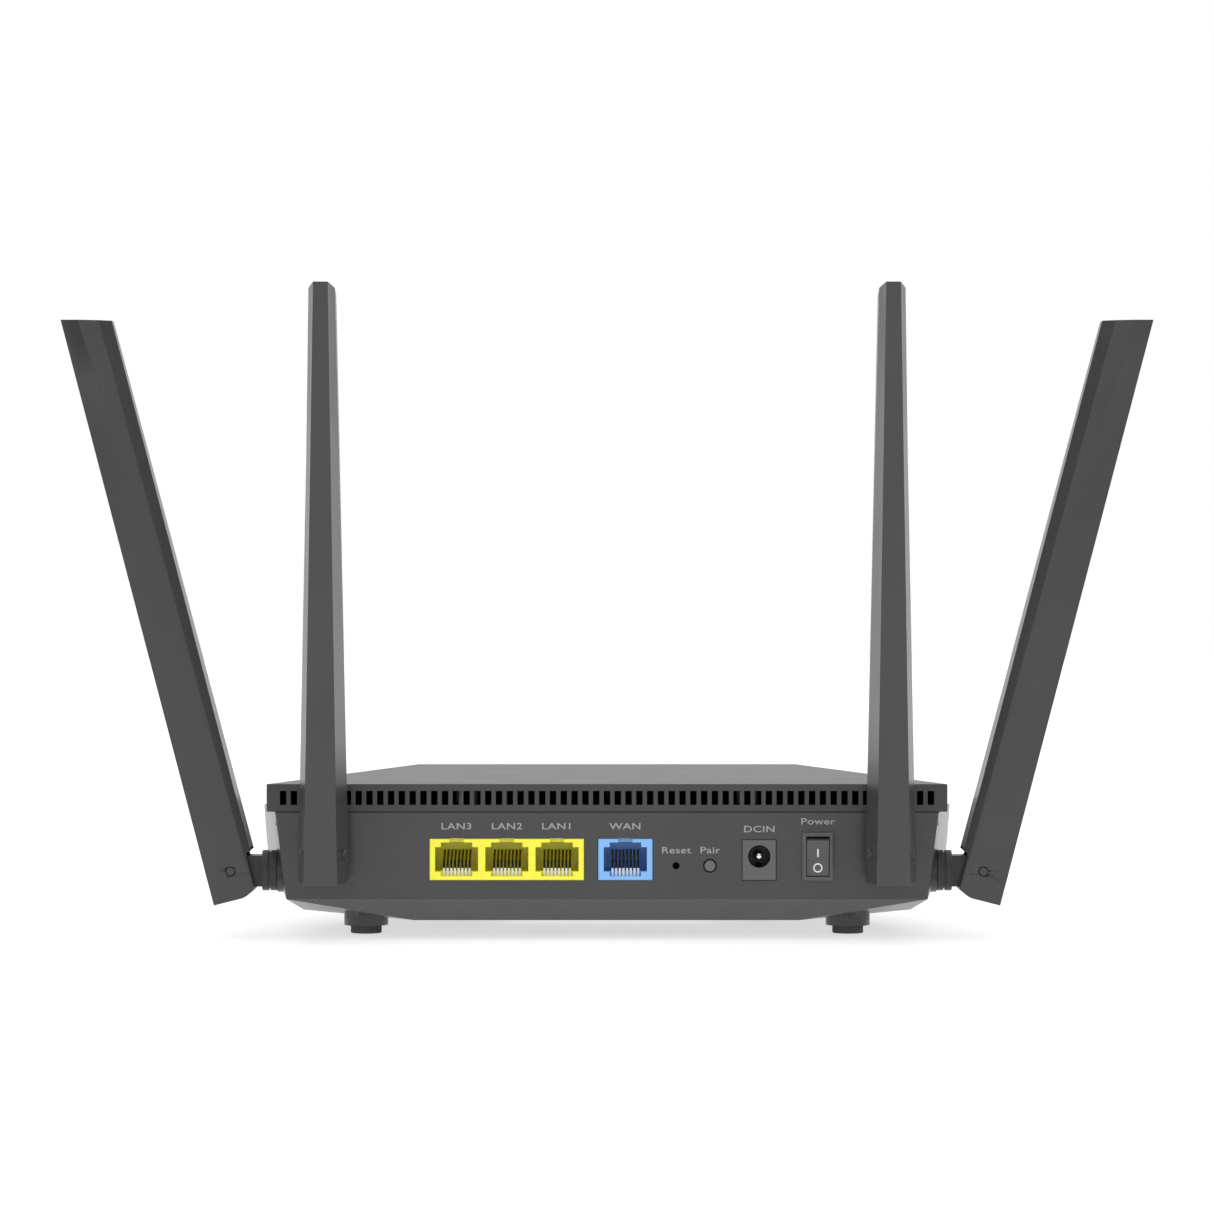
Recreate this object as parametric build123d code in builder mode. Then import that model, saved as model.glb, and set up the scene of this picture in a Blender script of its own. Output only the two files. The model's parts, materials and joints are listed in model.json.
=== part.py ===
from build123d import *
import math
import os

# Desktop wireless router with a faceted two-shell case, four antennas that swivel and tilt,
# and a port panel at the rear.
#
# Frame: +Z is up, the port panel faces -Y, and +X is to the right when facing the ports.
# The origin lies on the table, under the middle of the whole object's box.
# A "depth" is a distance in front of the port panel, towards the front of the router.

MM = 1.0

# ---------------------------------------------------------------- antenna hinge and blade
swivel_reach = 12.9 * MM          # wall face to tilt pin
tongue_width = 8.0 * MM
tongue_height = 8.7 * MM
tongue_length = 8.6 * MM          # tilt pin to the back of the collar
collar_diameter = 11.4 * MM
collar_gap = 0.2 * MM
collar_groove_width = 0.6 * MM
collar_groove_depth = 0.5 * MM
spigot_diameter = 7.0 * MM
spigot_clearance = 0.08 * MM
spigot_overrun = 2.6 * MM         # how far the spigot stands past its socket
clip_thickness = 0.8 * MM
clip_outer_diameter = 10.0 * MM
clip_clearance = 0.1 * MM
clip_mouth_narrowing = 0.6 * MM   # how much narrower its mouth is than the groove
groove_diameter = 5.6 * MM
hinge_pin_diameter = 2.2 * MM
pin_clearance = 0.05 * MM
lead_bore_diameter = 2.8 * MM
lead_exit_depth = 3.9 * MM        # tilt pin to the lead's upward exit from the tongue

blade_outer_depth = 7.1 * MM      # tilt pin to the blade's outer face
blade_inner_depth = 6.8 * MM      # tilt pin to the blade's inner face
blade_tail = 8.1 * MM             # tilt pin to the blade's lower end
rear_blade_length = 164.8 * MM
side_blade_length = 169.7 * MM
blade_waist_height = 78.5 * MM    # from the lower end
blade_neck_height = 118.0 * MM
# half width, half width of the outer face, half width of the inner face,
# depth of the outer bevel and depth of the inner bevel
blade_root = (7.05 * MM, 4.6 * MM, 6.5 * MM, 11.6 * MM, 1.9 * MM)
blade_waist = (5.4 * MM, 3.2 * MM, 4.75 * MM, 10.5 * MM, 2.0 * MM)
blade_neck = (4.5 * MM, 2.55 * MM, 3.7 * MM, 8.4 * MM, 2.45 * MM)
blade_tip = (3.6 * MM, 2.0 * MM, 2.3 * MM, 4.6 * MM, 3.65 * MM)
blade_tip_slant = 16.0            # degrees, the cut across the tip
pin_ring_width = 0.25 * MM        # groove round each end of the tilt pin
pin_ring_depth = 0.5 * MM
fork_clearance = 0.2 * MM         # between a cheek and the tongue
slot_clearance = 0.35 * MM        # round the end of the tongue
fork_setback = 1.4 * MM           # how far the cheeks stand back from the inner face
cheek_clearance = 0.4 * MM        # between the turning cheeks and the collar
blade_skin = 1.4 * MM
aerial_board_thickness = 0.8 * MM
aerial_board_gap = 0.6 * MM       # on each side of the aerial board
aerial_end_gap = 4.0 * MM
aerial_notch_size = (1.1 * MM, 17.4 * MM)  # depth, length
aerial_notch_spacing = 46.5 * MM
side_tilt = 14.76                 # degrees that the side antennas lean outward

# ---------------------------------------------------------------- case
body_depth = 146.0 * MM
case_top_z = 43.3 * MM
case_floor_z = 4.7 * MM
seam_z = 35.6 * MM                # lower edge of the top cover
seam_gap = 0.2 * MM
wall = 2.2 * MM
cover_roof = 1.8 * MM             # thickness of the cover's flat top
cover_rear_half = 94.6 * MM       # half width of the cover at the port panel
case_mid_half = 99.0 * MM         # half width at the widest line
case_mid_depth = 52.0 * MM        # depth of the widest line
case_front_half = 60.0 * MM
cover_mid_z = 38.7 * MM           # height of the cover's edge at the widest line
top_front_half = 59.0 * MM
front_slope_depth = 6.0 * MM
front_slope_drop = 4.8 * MM
panel_top_half = 92.2 * MM
panel_bottom_half = 89.1 * MM
panel_bottom_z = 11.3 * MM
floor_rear_half = 54.0 * MM
floor_rear_depth = 10.0 * MM
floor_mid_half = 88.0 * MM
floor_mid_depth = 49.0 * MM
floor_front_half = 52.0 * MM
floor_front_depth = 132.0 * MM
flank_z = 22.0 * MM               # upper edge of the lower flanks at the widest line
waist_z = 25.0 * MM               # where the rear flanks reach the full width
lip_wall = 1.2 * MM
lip_clearance = 0.3 * MM
lip_rise = 1.6 * MM
lip_shelf = 4.0 * MM

vent_count = 61
vent_pitch = 3.0 * MM
vent_width = 1.8 * MM
vent_bottom_z = 37.5 * MM
vent_top_z = 41.4 * MM
cover_rib_width = 1.2 * MM
cover_rib_x = 39.0 * MM           # middle of each pair of ribs
cover_rib_spacing = 4.6 * MM
cover_rib_length = 5.0 * MM
cover_rib_gap = 0.7 * MM          # between a rib and the lip below it

floor_vent_count = 11
floor_vent_pitch = 5.0 * MM
floor_vent_size = (2.0 * MM, 20.0 * MM)
floor_vent_depth = 32.0 * MM

foot_boss_diameter = 12.5 * MM
foot_boss_bottom_z = 2.3 * MM
foot_pad_diameter = 8.8 * MM
foot_pad_recess = 0.7 * MM
foot_pad_chamfer = 0.2 * MM
rear_foot = (68.4 * MM, 25.0 * MM)      # half spacing, depth
front_foot = (42.0 * MM, 106.0 * MM)

case_screws_at = ((79.0 * MM, 57.0 * MM), (46.0 * MM, 125.0 * MM))   # half spacing, depth
post_diameter = 6.4 * MM
post_root = 0.5 * MM              # how far a post sinks into the cover's ceiling
post_pilot_diameter = 2.5 * MM
floor_boss_diameter = 8.0 * MM
floor_boss_top_z = 10.0 * MM
screw_diameter = 2.5 * MM
screw_hole_diameter = 3.1 * MM
screw_head_diameter = 4.8 * MM
screw_head_height = 1.6 * MM
screw_head_clearance = 0.3 * MM
screw_recess = 2.0 * MM
screw_tip_chamfer = 0.4 * MM
drive_length = 2.6 * MM
drive_width = 0.6 * MM
drive_depth = 0.9 * MM
case_screw_length = 14.0 * MM

keyhole_half_spacing = 45.0 * MM
keyhole_depth = 70.0 * MM
keyhole_entry_diameter = 8.0 * MM
keyhole_slot_width = 4.0 * MM
keyhole_slot_length = 8.0 * MM

label_size = (62.0 * MM, 34.0 * MM)
label_depth = 72.0 * MM
label_recess = 0.35 * MM
label_thickness = 0.25 * MM
label_gap = 0.2 * MM
label_corner_radius = 2.0 * MM

# ---------------------------------------------------------------- main board
board_thickness = 1.6 * MM
board_top_z = 16.6 * MM
board_half_width = 72.0 * MM
board_front_half = 56.0 * MM
board_rear_depth = 4.6 * MM
board_corner_depth = 84.0 * MM
board_front_depth = 112.0 * MM
standoff_diameter = 6.0 * MM
standoff_pilot_diameter = 2.3 * MM
standoffs_at = ((68.0 * MM, 17.0 * MM), (54.0 * MM, 100.0 * MM))     # half spacing, depth
board_screw_length = 7.0 * MM
screw_bite = 0.3 * MM             # how much thinner a shank is drawn than its thread

# ---------------------------------------------------------------- ports
cutout_clearance = 0.15 * MM
port_proud = 0.3 * MM
port_chamfer = 0.25 * MM
lan_count = 3
lan_pitch = 13.97 * MM
lan_block_x = -27.85 * MM
lan_end_width = 14.96 * MM        # one socket's share of the ganged block
wan_x = 5.1 * MM
wan_width = 15.1 * MM
jack_top_z = 28.1 * MM
jack_length = 20.0 * MM
socket_width = 12.0 * MM
socket_length = 14.0 * MM
socket_bottom_z = 19.0 * MM
socket_top_z = 25.8 * MM
shoulder_width = 8.75 * MM
shoulder_top_z = 27.1 * MM
latch_width = 4.0 * MM
latch_overrun = 1.0 * MM          # so that the latch slot opens through the top edge
comb_bottom_z = 17.7 * MM
comb_length = 3.0 * MM
contact_count = 8
contact_pitch = 1.02 * MM
contact_width = 0.6 * MM
contact_thickness = 0.3 * MM
contact_knee_rise = 2.5 * MM      # socket floor to the bend of a contact
contact_rise = 5.4 * MM
contact_reach = 7.7 * MM

power_jack_x = 42.3 * MM
power_jack_width = 9.4 * MM
power_jack_top_z = 27.8 * MM
power_jack_length = 13.5 * MM
power_bore_z = 23.2 * MM
power_bore_diameter = 6.3 * MM
power_bore_depth = 10.0 * MM
power_pin_diameter = 2.1 * MM
power_pin_root_diameter = 2.8 * MM
power_pin_tip_radius = 0.9 * MM
power_pin_tip_depth = 1.0 * MM
power_spring_offset = 2.5 * MM
power_spring_size = (1.6 * MM, 8.0 * MM, 0.3 * MM)

switch_x = 58.55 * MM
switch_z = 23.2 * MM
bezel_width = 8.7 * MM
bezel_height = 13.3 * MM
bezel_proud = 1.2 * MM
bezel_chamfer = 0.3 * MM
switch_body_width = 8.1 * MM
switch_body_height = 12.3 * MM
switch_body_length = 13.0 * MM
rocker_width = 6.1 * MM
rocker_height = 10.0 * MM
rocker_side_gap = 0.2 * MM
rocker_end_gap = 0.6 * MM
rocker_pivot_depth = 2.0 * MM
rocker_face_reach = 2.6 * MM      # pivot to the middle of the rocker's face
rocker_end_reach = 3.4 * MM       # pivot to the ends of the rocker's face
rocker_back_reach = 2.6 * MM
rocker_end_bulge = 0.35 * MM      # how far the ends swell behind the face
rocker_bulge_reach = (1.2 * MM, 0.4 * MM)
rocker_back_half = 2.0 * MM
rocker_pin_diameter = 1.8 * MM
rocker_pin_length = 0.55 * MM
rocker_pin_gap = 0.06 * MM
rocker_pin_end_gap = 0.1 * MM
rocker_throw = 7.0                # degrees each way from the middle
switch_cavity_depth = 7.5 * MM
terminal_size = (1.0 * MM, 0.5 * MM)
terminal_pitch = 4.0 * MM
terminal_tail = 1.0 * MM

button_z = 20.6 * MM
pairing_x = 28.6 * MM
pairing_cap_diameter = 3.0 * MM
pairing_hole_diameter = 3.9 * MM
pairing_proud = 0.4 * MM
pairing_flange_diameter = 5.2 * MM
pairing_flange_thickness = 0.8 * MM
pairing_edge_radius = 0.2 * MM
reset_x = 19.2 * MM
reset_hole_diameter = 2.0 * MM
reset_setback = 1.2 * MM          # panel's inner face to the tip of the reset plunger
button_gap = 0.3 * MM
tact_size = (6.0 * MM, 3.6 * MM)   # width, length
tact_head_room = 3.0 * MM          # button centre to the top of its tactile switch
tact_depth = 5.4 * MM             # front face of the tactile switches
tact_bore_depth = 1.6 * MM
tact_plunger_diameter = 2.0 * MM
tact_plunger_clearance = 0.08 * MM
tact_plunger_engaged = 0.9 * MM

# ---------------------------------------------------------------- board components
processor_size = (15.0 * MM, 15.0 * MM, 1.4 * MM)
processor_depth = 68.0 * MM
thermal_pad_size = (13.0 * MM, 13.0 * MM, 0.6 * MM)
heatsink_size = (46.0 * MM, 44.0 * MM, 2.5 * MM)
fin_count = 9
fin_thickness = 1.2 * MM
fin_top_z = 33.0 * MM
heatsink_pin_diameter = 2.4 * MM
heatsink_pin_gap = 0.1 * MM
heatsink_pin_inset = (3.0 * MM, 7.0 * MM)   # from the plate's side and end
heatsink_pin_tail = 1.5 * MM
heatsink_pin_head = (3.84 * MM, 1.2 * MM)   # diameter, height
fin_margin = 6.0 * MM             # plate edge to the first fin
memory_size = (11.0 * MM, 9.0 * MM, 1.1 * MM)
memory_at = ((-34.0 * MM, 58.0 * MM), (-34.0 * MM, 72.0 * MM))
shield_size = (26.0 * MM, 22.0 * MM, 3.4 * MM)
shield_skin = 0.5 * MM
shield_corner_radius = 1.0 * MM
shields_at = ((-38.0 * MM, 92.0 * MM), (40.0 * MM, 86.0 * MM))
transformer_size = (14.0 * MM, 9.0 * MM, 6.0 * MM)
transformers_at = ((-38.0 * MM, 33.0 * MM), (-18.0 * MM, 33.0 * MM), (5.1 * MM, 33.0 * MM))
capacitor_diameter = 6.3 * MM
capacitor_height = 9.0 * MM
capacitor_chamfer = 0.4 * MM
capacitors_at = ((36.0 * MM, 26.0 * MM), (45.0 * MM, 26.0 * MM), (54.0 * MM, 26.0 * MM))
inductor_size = (7.0 * MM, 7.0 * MM, 4.0 * MM)
inductors_at = ((36.0 * MM, 38.0 * MM), (46.0 * MM, 38.0 * MM))
lead_diameter = 1.8 * MM
lead_bend_radius = 6.0 * MM
lead_plug_diameter = 3.4 * MM
lead_plug_height = 2.4 * MM
rear_lead_plug = (50.0 * MM, 48.0 * MM)    # half spacing, depth
side_lead_plug = (62.0 * MM, 60.0 * MM)
rear_lead_turn = (66.0 * MM, 40.0 * MM)
side_lead_turn = (78.0 * MM, 32.0 * MM)
rear_lead_run = 20.0 * MM                  # depth where a rear lead turns down
led_count = 7
led_pitch = 8.0 * MM
led_size = (2.0 * MM, 1.6 * MM, 2.0 * MM)
guide_diameter = 2.0 * MM
guide_clearance = 0.15 * MM
guide_led_gap = 0.3 * MM
guide_bar_setback = 1.0 * MM
guide_bend_radius = 4.0 * MM
guide_bar_size = (3.0 * MM, 2.4 * MM)

# ---------------------------------------------------------------- antenna places
rear_antenna_x = 78.2 * MM
rear_antenna_z = 24.6 * MM
side_antenna_face_x = 92.3 * MM   # outer face of the side antenna sockets
side_antenna_depth = 12.0 * MM
side_antenna_z = 18.6 * MM
socket_boss_diameter = 12.2 * MM
socket_boss_length = 4.0 * MM

# ---------------------------------------------------------------- derived values
rear_reach = swivel_reach + blade_outer_depth
panel_y = (rear_reach - body_depth) / 2
board_bottom_z = board_top_z - board_thickness
cover_ceiling_z = case_top_z - cover_roof
lan_block_width = (lan_count - 1) * lan_pitch + lan_end_width
case_wall_top_z = seam_z - seam_gap
rib_bottom_z = seam_z + lip_rise + cover_rib_gap
inner_floor_z = case_floor_z + wall
spigot_hole_diameter = spigot_diameter + 2 * spigot_clearance


def at_depth(depth):
    """Y of a place that lies `depth` in front of the port panel."""
    return panel_y + depth


def both_sides(places):
    """The given (half spacing, depth) places on both sides of the middle, as (x, y) points."""
    return [(side * x, at_depth(depth)) for x, depth in places for side in (-1, 1)]


def save(piece, name):
    """Label a finished piece and write its STEP file."""
    piece.part.label = name
    export_step(piece.part, f"parts/{name}.step")


os.makedirs("parts", exist_ok=True)


# ---------------------------------------------------------------- case shells
def facet(*corners):
    """Plane through three (x, depth, z) corners, with its normal pointing out of the case."""
    first, second, third = [Vector(x, at_depth(depth), z) for x, depth, z in corners]
    normal = (second - first).cross(third - first).normalized()
    outward = first - Vector(0, at_depth(case_mid_depth), board_top_z)
    if normal.dot(outward) < 0:
        normal = normal * -1
    return Plane(origin=first, z_dir=normal)


def mirrored_facets(*corners):
    """The facet through three corners, and its twin on the other side."""
    return [facet(*corners), facet(*[(-x, depth, z) for x, depth, z in corners])]


def upright(first, second):
    """Corners of an upright facet over the line between two (x, depth) points."""
    return [(*first, case_floor_z), (*second, case_floor_z), (*second, case_top_z)]


case_mid = (case_mid_half, case_mid_depth)
case_front = (case_front_half, body_depth)
slope_start = body_depth - front_slope_depth
panel_corner = (panel_bottom_half, 0, panel_bottom_z)
floor_mid = (floor_mid_half, floor_mid_depth, case_floor_z)
floor_front = (floor_front_half, floor_front_depth, case_floor_z)
flank_top = (case_mid_half, case_mid_depth, flank_z)

front_sides = mirrored_facets(*upright(case_mid, case_front))
cover_facets = [
    *mirrored_facets(*upright((cover_rear_half, 0), case_mid)),
    *front_sides,
    *mirrored_facets(
        (cover_rear_half, 0, case_top_z),
        (top_front_half, slope_start, case_top_z),
        (case_mid_half, case_mid_depth, cover_mid_z),
    ),
    facet(
        (0, slope_start, case_top_z),
        (top_front_half, slope_start, case_top_z),
        (0, body_depth, case_top_z - front_slope_drop),
    ),
]
tray_facets = [
    *mirrored_facets(
        (panel_top_half, 0, seam_z), panel_corner, (case_mid_half, case_mid_depth, waist_z)
    ),
    *front_sides,
    *mirrored_facets(floor_mid, flank_top, panel_corner),
    *mirrored_facets(floor_mid, floor_front, flank_top),
    *mirrored_facets(panel_corner, (floor_rear_half, floor_rear_depth, case_floor_z), floor_mid),
    facet(
        (0, 0, panel_bottom_z), (panel_bottom_half, 0, panel_bottom_z),
        (0, floor_rear_depth, case_floor_z),
    ),
    facet(
        floor_front, (0, floor_front_depth, case_floor_z), (0, body_depth, flank_z)
    ),
]


def faceted_block(facets, bottom_z, top_z, inset=0.0):
    """Block between two heights, trimmed by the facets after they move inward by `inset`."""
    with BuildPart() as block:
        with Locations((0, at_depth(body_depth / 2), (bottom_z + top_z) / 2)):
            Box(2 * (case_mid_half - inset), body_depth - 2 * inset, top_z - bottom_z)
        for plane in facets:
            split(bisect_by=plane.offset(-inset), keep=Keep.BOTTOM)
    return block.part


seam_lap = seam_z - lip_shelf
lip_outset = wall + lip_clearance
cover_shape = faceted_block(cover_facets, seam_z, case_top_z)
cover_cavity = faceted_block(cover_facets, seam_z, cover_ceiling_z, wall)
tray_shape = faceted_block(tray_facets, case_floor_z, case_wall_top_z)
tray_cavity = faceted_block(tray_facets, inner_floor_z, case_wall_top_z, wall)
shelf_shape = faceted_block(tray_facets, seam_lap, case_wall_top_z, wall / 2)
lip_shape = faceted_block(cover_facets, seam_lap, seam_z + lip_rise, lip_outset)
lip_cavity = faceted_block(cover_facets, seam_lap, seam_z + lip_rise, lip_outset + lip_wall)

# Port panel plane: sketch X is +X, sketch Y is +Z, and its normal points out of the panel.
panel_plane = Plane(origin=(0, panel_y, 0), x_dir=(1, 0, 0), z_dir=(0, -1, 0))
screw_points = both_sides(case_screws_at)
standoff_points = both_sides(standoffs_at)
foot_points = both_sides([rear_foot, front_foot])
keyhole_points = both_sides([(keyhole_half_spacing, keyhole_depth)])
guide_points_x = [(index - (led_count - 1) / 2) * led_pitch for index in range(led_count)]

# Light guides end square to the middle of the cover's front slope.
slope_middle = Vector(
    0, at_depth(body_depth - front_slope_depth / 2), case_top_z - front_slope_drop / 2
)
slope_normal = Vector(0, front_slope_drop, front_slope_depth).normalized()

with BuildPart() as top_cover:
    add(cover_shape)
    add(cover_cavity, mode=Mode.SUBTRACT)
    # air slots across the rear edge
    with BuildSketch(panel_plane.offset(wall)):
        with Locations((0, (vent_bottom_z + vent_top_z) / 2)):
            with GridLocations(vent_pitch, 1, vent_count, 1):
                Rectangle(vent_width, vent_top_z - vent_bottom_z)
    extrude(amount=-3 * wall, mode=Mode.SUBTRACT)
    # pairs of ribs behind the air slots, just above the port panel's lip
    with BuildSketch(Plane.XY.offset(rib_bottom_z)):
        with Locations((0, at_depth(wall + cover_rib_length / 2))):
            with GridLocations(2 * cover_rib_x, 1, 2, 1), GridLocations(cover_rib_spacing, 1, 2, 1):
                Rectangle(cover_rib_width, cover_rib_length)
    extrude(amount=cover_ceiling_z + post_root - rib_bottom_z)
    # posts that take the case screws
    with BuildSketch(Plane.XY.offset(floor_boss_top_z)):
        with Locations(*screw_points):
            Circle(post_diameter / 2)
    extrude(amount=cover_ceiling_z + post_root - floor_boss_top_z)
    with BuildSketch(Plane.XY.offset(floor_boss_top_z)):
        with Locations(*screw_points):
            Circle(post_pilot_diameter / 2)
    extrude(amount=case_screw_length, mode=Mode.SUBTRACT)
    # windows for the light guides
    for guide_x in guide_points_x:
        with BuildSketch(Plane(origin=slope_middle + Vector(guide_x, 0, 0), z_dir=slope_normal)):
            Circle(guide_diameter / 2 + guide_clearance)
        extrude(amount=2 * wall, both=True, mode=Mode.SUBTRACT)
save(top_cover, "top_cover")


def port_opening(x, bottom_z, width, height):
    """Sketch of one rectangular opening in the port panel, with its clearance."""
    with Locations((x, bottom_z + height / 2)):
        Rectangle(width + 2 * cutout_clearance, height + 2 * cutout_clearance)


side_sockets = [
    Plane(origin=(side * side_antenna_face_x, at_depth(side_antenna_depth), side_antenna_z),
          x_dir=(0, side, 0), z_dir=(side, 0, 0))
    for side in (-1, 1)
]
rear_sockets = [
    Plane(origin=(side * rear_antenna_x, panel_y, rear_antenna_z),
          x_dir=(1, 0, 0), z_dir=(0, -1, 0))
    for side in (-1, 1)
]

with BuildPart() as bottom_case:
    add(tray_shape)
    # feet, and the outer faces of the side antenna sockets
    with BuildSketch(Plane.XY.offset(foot_boss_bottom_z)):
        with Locations(*foot_points):
            Circle(foot_boss_diameter / 2)
    extrude(amount=panel_bottom_z - foot_boss_bottom_z)
    for socket in side_sockets:
        with BuildSketch(socket):
            Circle(socket_boss_diameter / 2)
        extrude(amount=-socket_boss_length)
    add(tray_cavity, mode=Mode.SUBTRACT)
    # lip round the top edge, inside the cover
    add(shelf_shape)
    add(lip_shape)
    add(lip_cavity, mode=Mode.SUBTRACT)
    # antenna sockets
    for socket in side_sockets + rear_sockets:
        with BuildSketch(socket):
            Circle(socket_boss_diameter / 2)
        extrude(amount=-socket_boss_length)
        with BuildSketch(socket):
            Circle(spigot_hole_diameter / 2)
        extrude(amount=2 * socket_boss_length, both=True, mode=Mode.SUBTRACT)
    # room for the collars where the flanks swell past the side sockets
    for socket in side_sockets:
        with BuildSketch(socket):
            Circle(socket_boss_diameter / 2)
        extrude(amount=socket_boss_length, mode=Mode.SUBTRACT)
    # bosses for the case screws and standoffs for the board
    with BuildSketch(Plane.XY.offset(case_floor_z)):
        with Locations(*screw_points):
            Circle(floor_boss_diameter / 2)
    extrude(amount=floor_boss_top_z - case_floor_z)
    with BuildSketch(Plane.XY.offset(inner_floor_z - wall / 2)):
        with Locations(*standoff_points):
            Circle(standoff_diameter / 2)
    extrude(amount=board_bottom_z - inner_floor_z + wall / 2)
    with BuildSketch(Plane.XY.offset(board_bottom_z)):
        with Locations(*standoff_points):
            Circle(standoff_pilot_diameter / 2)
    extrude(amount=-board_screw_length, mode=Mode.SUBTRACT)
    with BuildSketch(Plane.XY.offset(case_floor_z)):
        with Locations(*screw_points):
            Circle(screw_head_diameter / 2 + screw_head_clearance)
    extrude(amount=screw_recess + screw_head_height, mode=Mode.SUBTRACT)
    with BuildSketch(Plane.XY.offset(case_floor_z)):
        with Locations(*screw_points):
            Circle(screw_hole_diameter / 2)
    extrude(amount=floor_boss_top_z, mode=Mode.SUBTRACT)
    # seats for the foot pads
    with BuildSketch(Plane.XY.offset(foot_boss_bottom_z)):
        with Locations(*foot_points):
            Circle(foot_pad_diameter / 2)
    extrude(amount=foot_pad_recess, mode=Mode.SUBTRACT)
    # openings of the port panel
    with BuildSketch(panel_plane.offset(wall)):
        port_opening(lan_block_x, board_top_z, lan_block_width, jack_top_z - board_top_z)
        port_opening(wan_x, board_top_z, wan_width, jack_top_z - board_top_z)
        port_opening(power_jack_x, board_top_z, power_jack_width, power_jack_top_z - board_top_z)
        port_opening(
            switch_x, switch_z - switch_body_height / 2, switch_body_width, switch_body_height
        )
        with Locations((pairing_x, button_z)):
            Circle(pairing_hole_diameter / 2)
        with Locations((reset_x, button_z)):
            Circle(reset_hole_diameter / 2)
    extrude(amount=-2 * wall - port_proud, mode=Mode.SUBTRACT)
    # wall keyholes, air slots and the label's seat in the floor
    with BuildSketch(Plane.XY.offset(case_floor_z)):
        with Locations(*keyhole_points):
            Circle(keyhole_entry_diameter / 2)
            with Locations((0, keyhole_slot_length / 2)):
                SlotCenterToCenter(keyhole_slot_length, keyhole_slot_width, rotation=90)
        with Locations((0, at_depth(floor_vent_depth))):
            with GridLocations(floor_vent_pitch, 1, floor_vent_count, 1):
                SlotOverall(floor_vent_size[1], floor_vent_size[0], rotation=90)
    extrude(amount=wall, mode=Mode.SUBTRACT)
    with BuildSketch(Plane.XY.offset(case_floor_z)):
        with Locations((0, at_depth(label_depth))):
            Rectangle(*label_size)
    extrude(amount=label_recess, mode=Mode.SUBTRACT)
save(bottom_case, "bottom_case")

with BuildPart() as foot_pads:
    with BuildSketch(Plane.XY):
        with Locations(*foot_points):
            Circle(foot_pad_diameter / 2)
    extrude(amount=foot_boss_bottom_z + foot_pad_recess)
    chamfer(foot_pads.edges().group_by(Axis.Z)[0], length=foot_pad_chamfer)
save(foot_pads, "foot_pads")

with BuildPart() as rating_label:
    with BuildSketch(Plane.XY.offset(case_floor_z + label_recess)):
        with Locations((0, at_depth(label_depth))):
            RectangleRounded(
                label_size[0] - 2 * label_gap, label_size[1] - 2 * label_gap, label_corner_radius
            )
    extrude(amount=-label_thickness)
save(rating_label, "rating_label")


def pan_screws(points, seat_z, length, up):
    """Pan-head screws with their heads on `seat_z` and their shanks `length` long.

    `up` is 1 for shanks that point up and -1 for shanks that point down.
    """
    shank_top = Plane.XY.offset(seat_z + up * length)
    with BuildPart() as screws:
        with BuildSketch(Plane.XY.offset(seat_z)):
            with Locations(*points):
                Circle(screw_head_diameter / 2)
        extrude(amount=-up * screw_head_height)
        with BuildSketch(Plane.XY.offset(seat_z)):
            with Locations(*points):
                Circle((screw_diameter - screw_bite) / 2)
        extrude(amount=up * length)
        head_end = -1 if up < 0 else 0
        chamfer(screws.edges().group_by(Axis.Z)[head_end], length=screw_tip_chamfer)
        with BuildSketch(Plane.XY.offset(seat_z - up * screw_head_height)):
            with Locations(*points):
                Rectangle(drive_length, drive_width)
                Rectangle(drive_width, drive_length)
        extrude(amount=up * drive_depth, mode=Mode.SUBTRACT)
    return screws


case_screw_seat_z = case_floor_z + screw_recess + screw_head_height
save(pan_screws(screw_points, case_screw_seat_z, case_screw_length, 1), "case_screws")
save(pan_screws(standoff_points, board_top_z, board_screw_length, -1), "board_screws")

# ---------------------------------------------------------------- main board and its components
heatsink_pin_points = [
    (side * (heatsink_size[0] / 2 - heatsink_pin_inset[0]),
     at_depth(processor_depth) + side * (heatsink_size[1] / 2 - heatsink_pin_inset[1]))
    for side in (-1, 1)
]

terminal_y = at_depth(switch_body_length) + terminal_size[1] / 2

with BuildPart() as main_board:
    with BuildSketch(Plane.XY.offset(board_bottom_z)):
        with BuildLine():
            Polyline(
                (-board_half_width, at_depth(board_rear_depth)),
                (board_half_width, at_depth(board_rear_depth)),
                (board_half_width, at_depth(board_corner_depth)),
                (board_front_half, at_depth(board_front_depth)),
                (-board_front_half, at_depth(board_front_depth)),
                (-board_half_width, at_depth(board_corner_depth)),
                close=True,
            )
        make_face()
        with Locations(*standoff_points):
            Circle(screw_hole_diameter / 2, mode=Mode.SUBTRACT)
        with Locations(*heatsink_pin_points):
            Circle(heatsink_pin_diameter / 2 + heatsink_pin_gap, mode=Mode.SUBTRACT)
        with Locations((switch_x, terminal_y)):
            with GridLocations(terminal_pitch, 1, 2, 1):
                Rectangle(*terminal_size, mode=Mode.SUBTRACT)
    extrude(amount=board_thickness)
save(main_board, "main_board")


def blocks_on_board(places, size, base_z=board_top_z):
    """Rectangular components of one size, standing at (x, depth) places."""
    with BuildPart() as blocks:
        with BuildSketch(Plane.XY.offset(base_z)):
            with Locations(*[(x, at_depth(depth)) for x, depth in places]):
                Rectangle(size[0], size[1])
        extrude(amount=size[2])
    return blocks


processor_top_z = board_top_z + processor_size[2]
heatsink_base_z = processor_top_z + thermal_pad_size[2]
processor_place = [(0, processor_depth)]

save(blocks_on_board(processor_place, processor_size), "processor")
save(blocks_on_board(processor_place, thermal_pad_size, processor_top_z), "thermal_pad")
save(blocks_on_board(memory_at, memory_size), "memory_chips")
save(blocks_on_board(transformers_at, transformer_size), "network_transformers")
save(blocks_on_board(inductors_at, inductor_size), "power_inductors")

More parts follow.
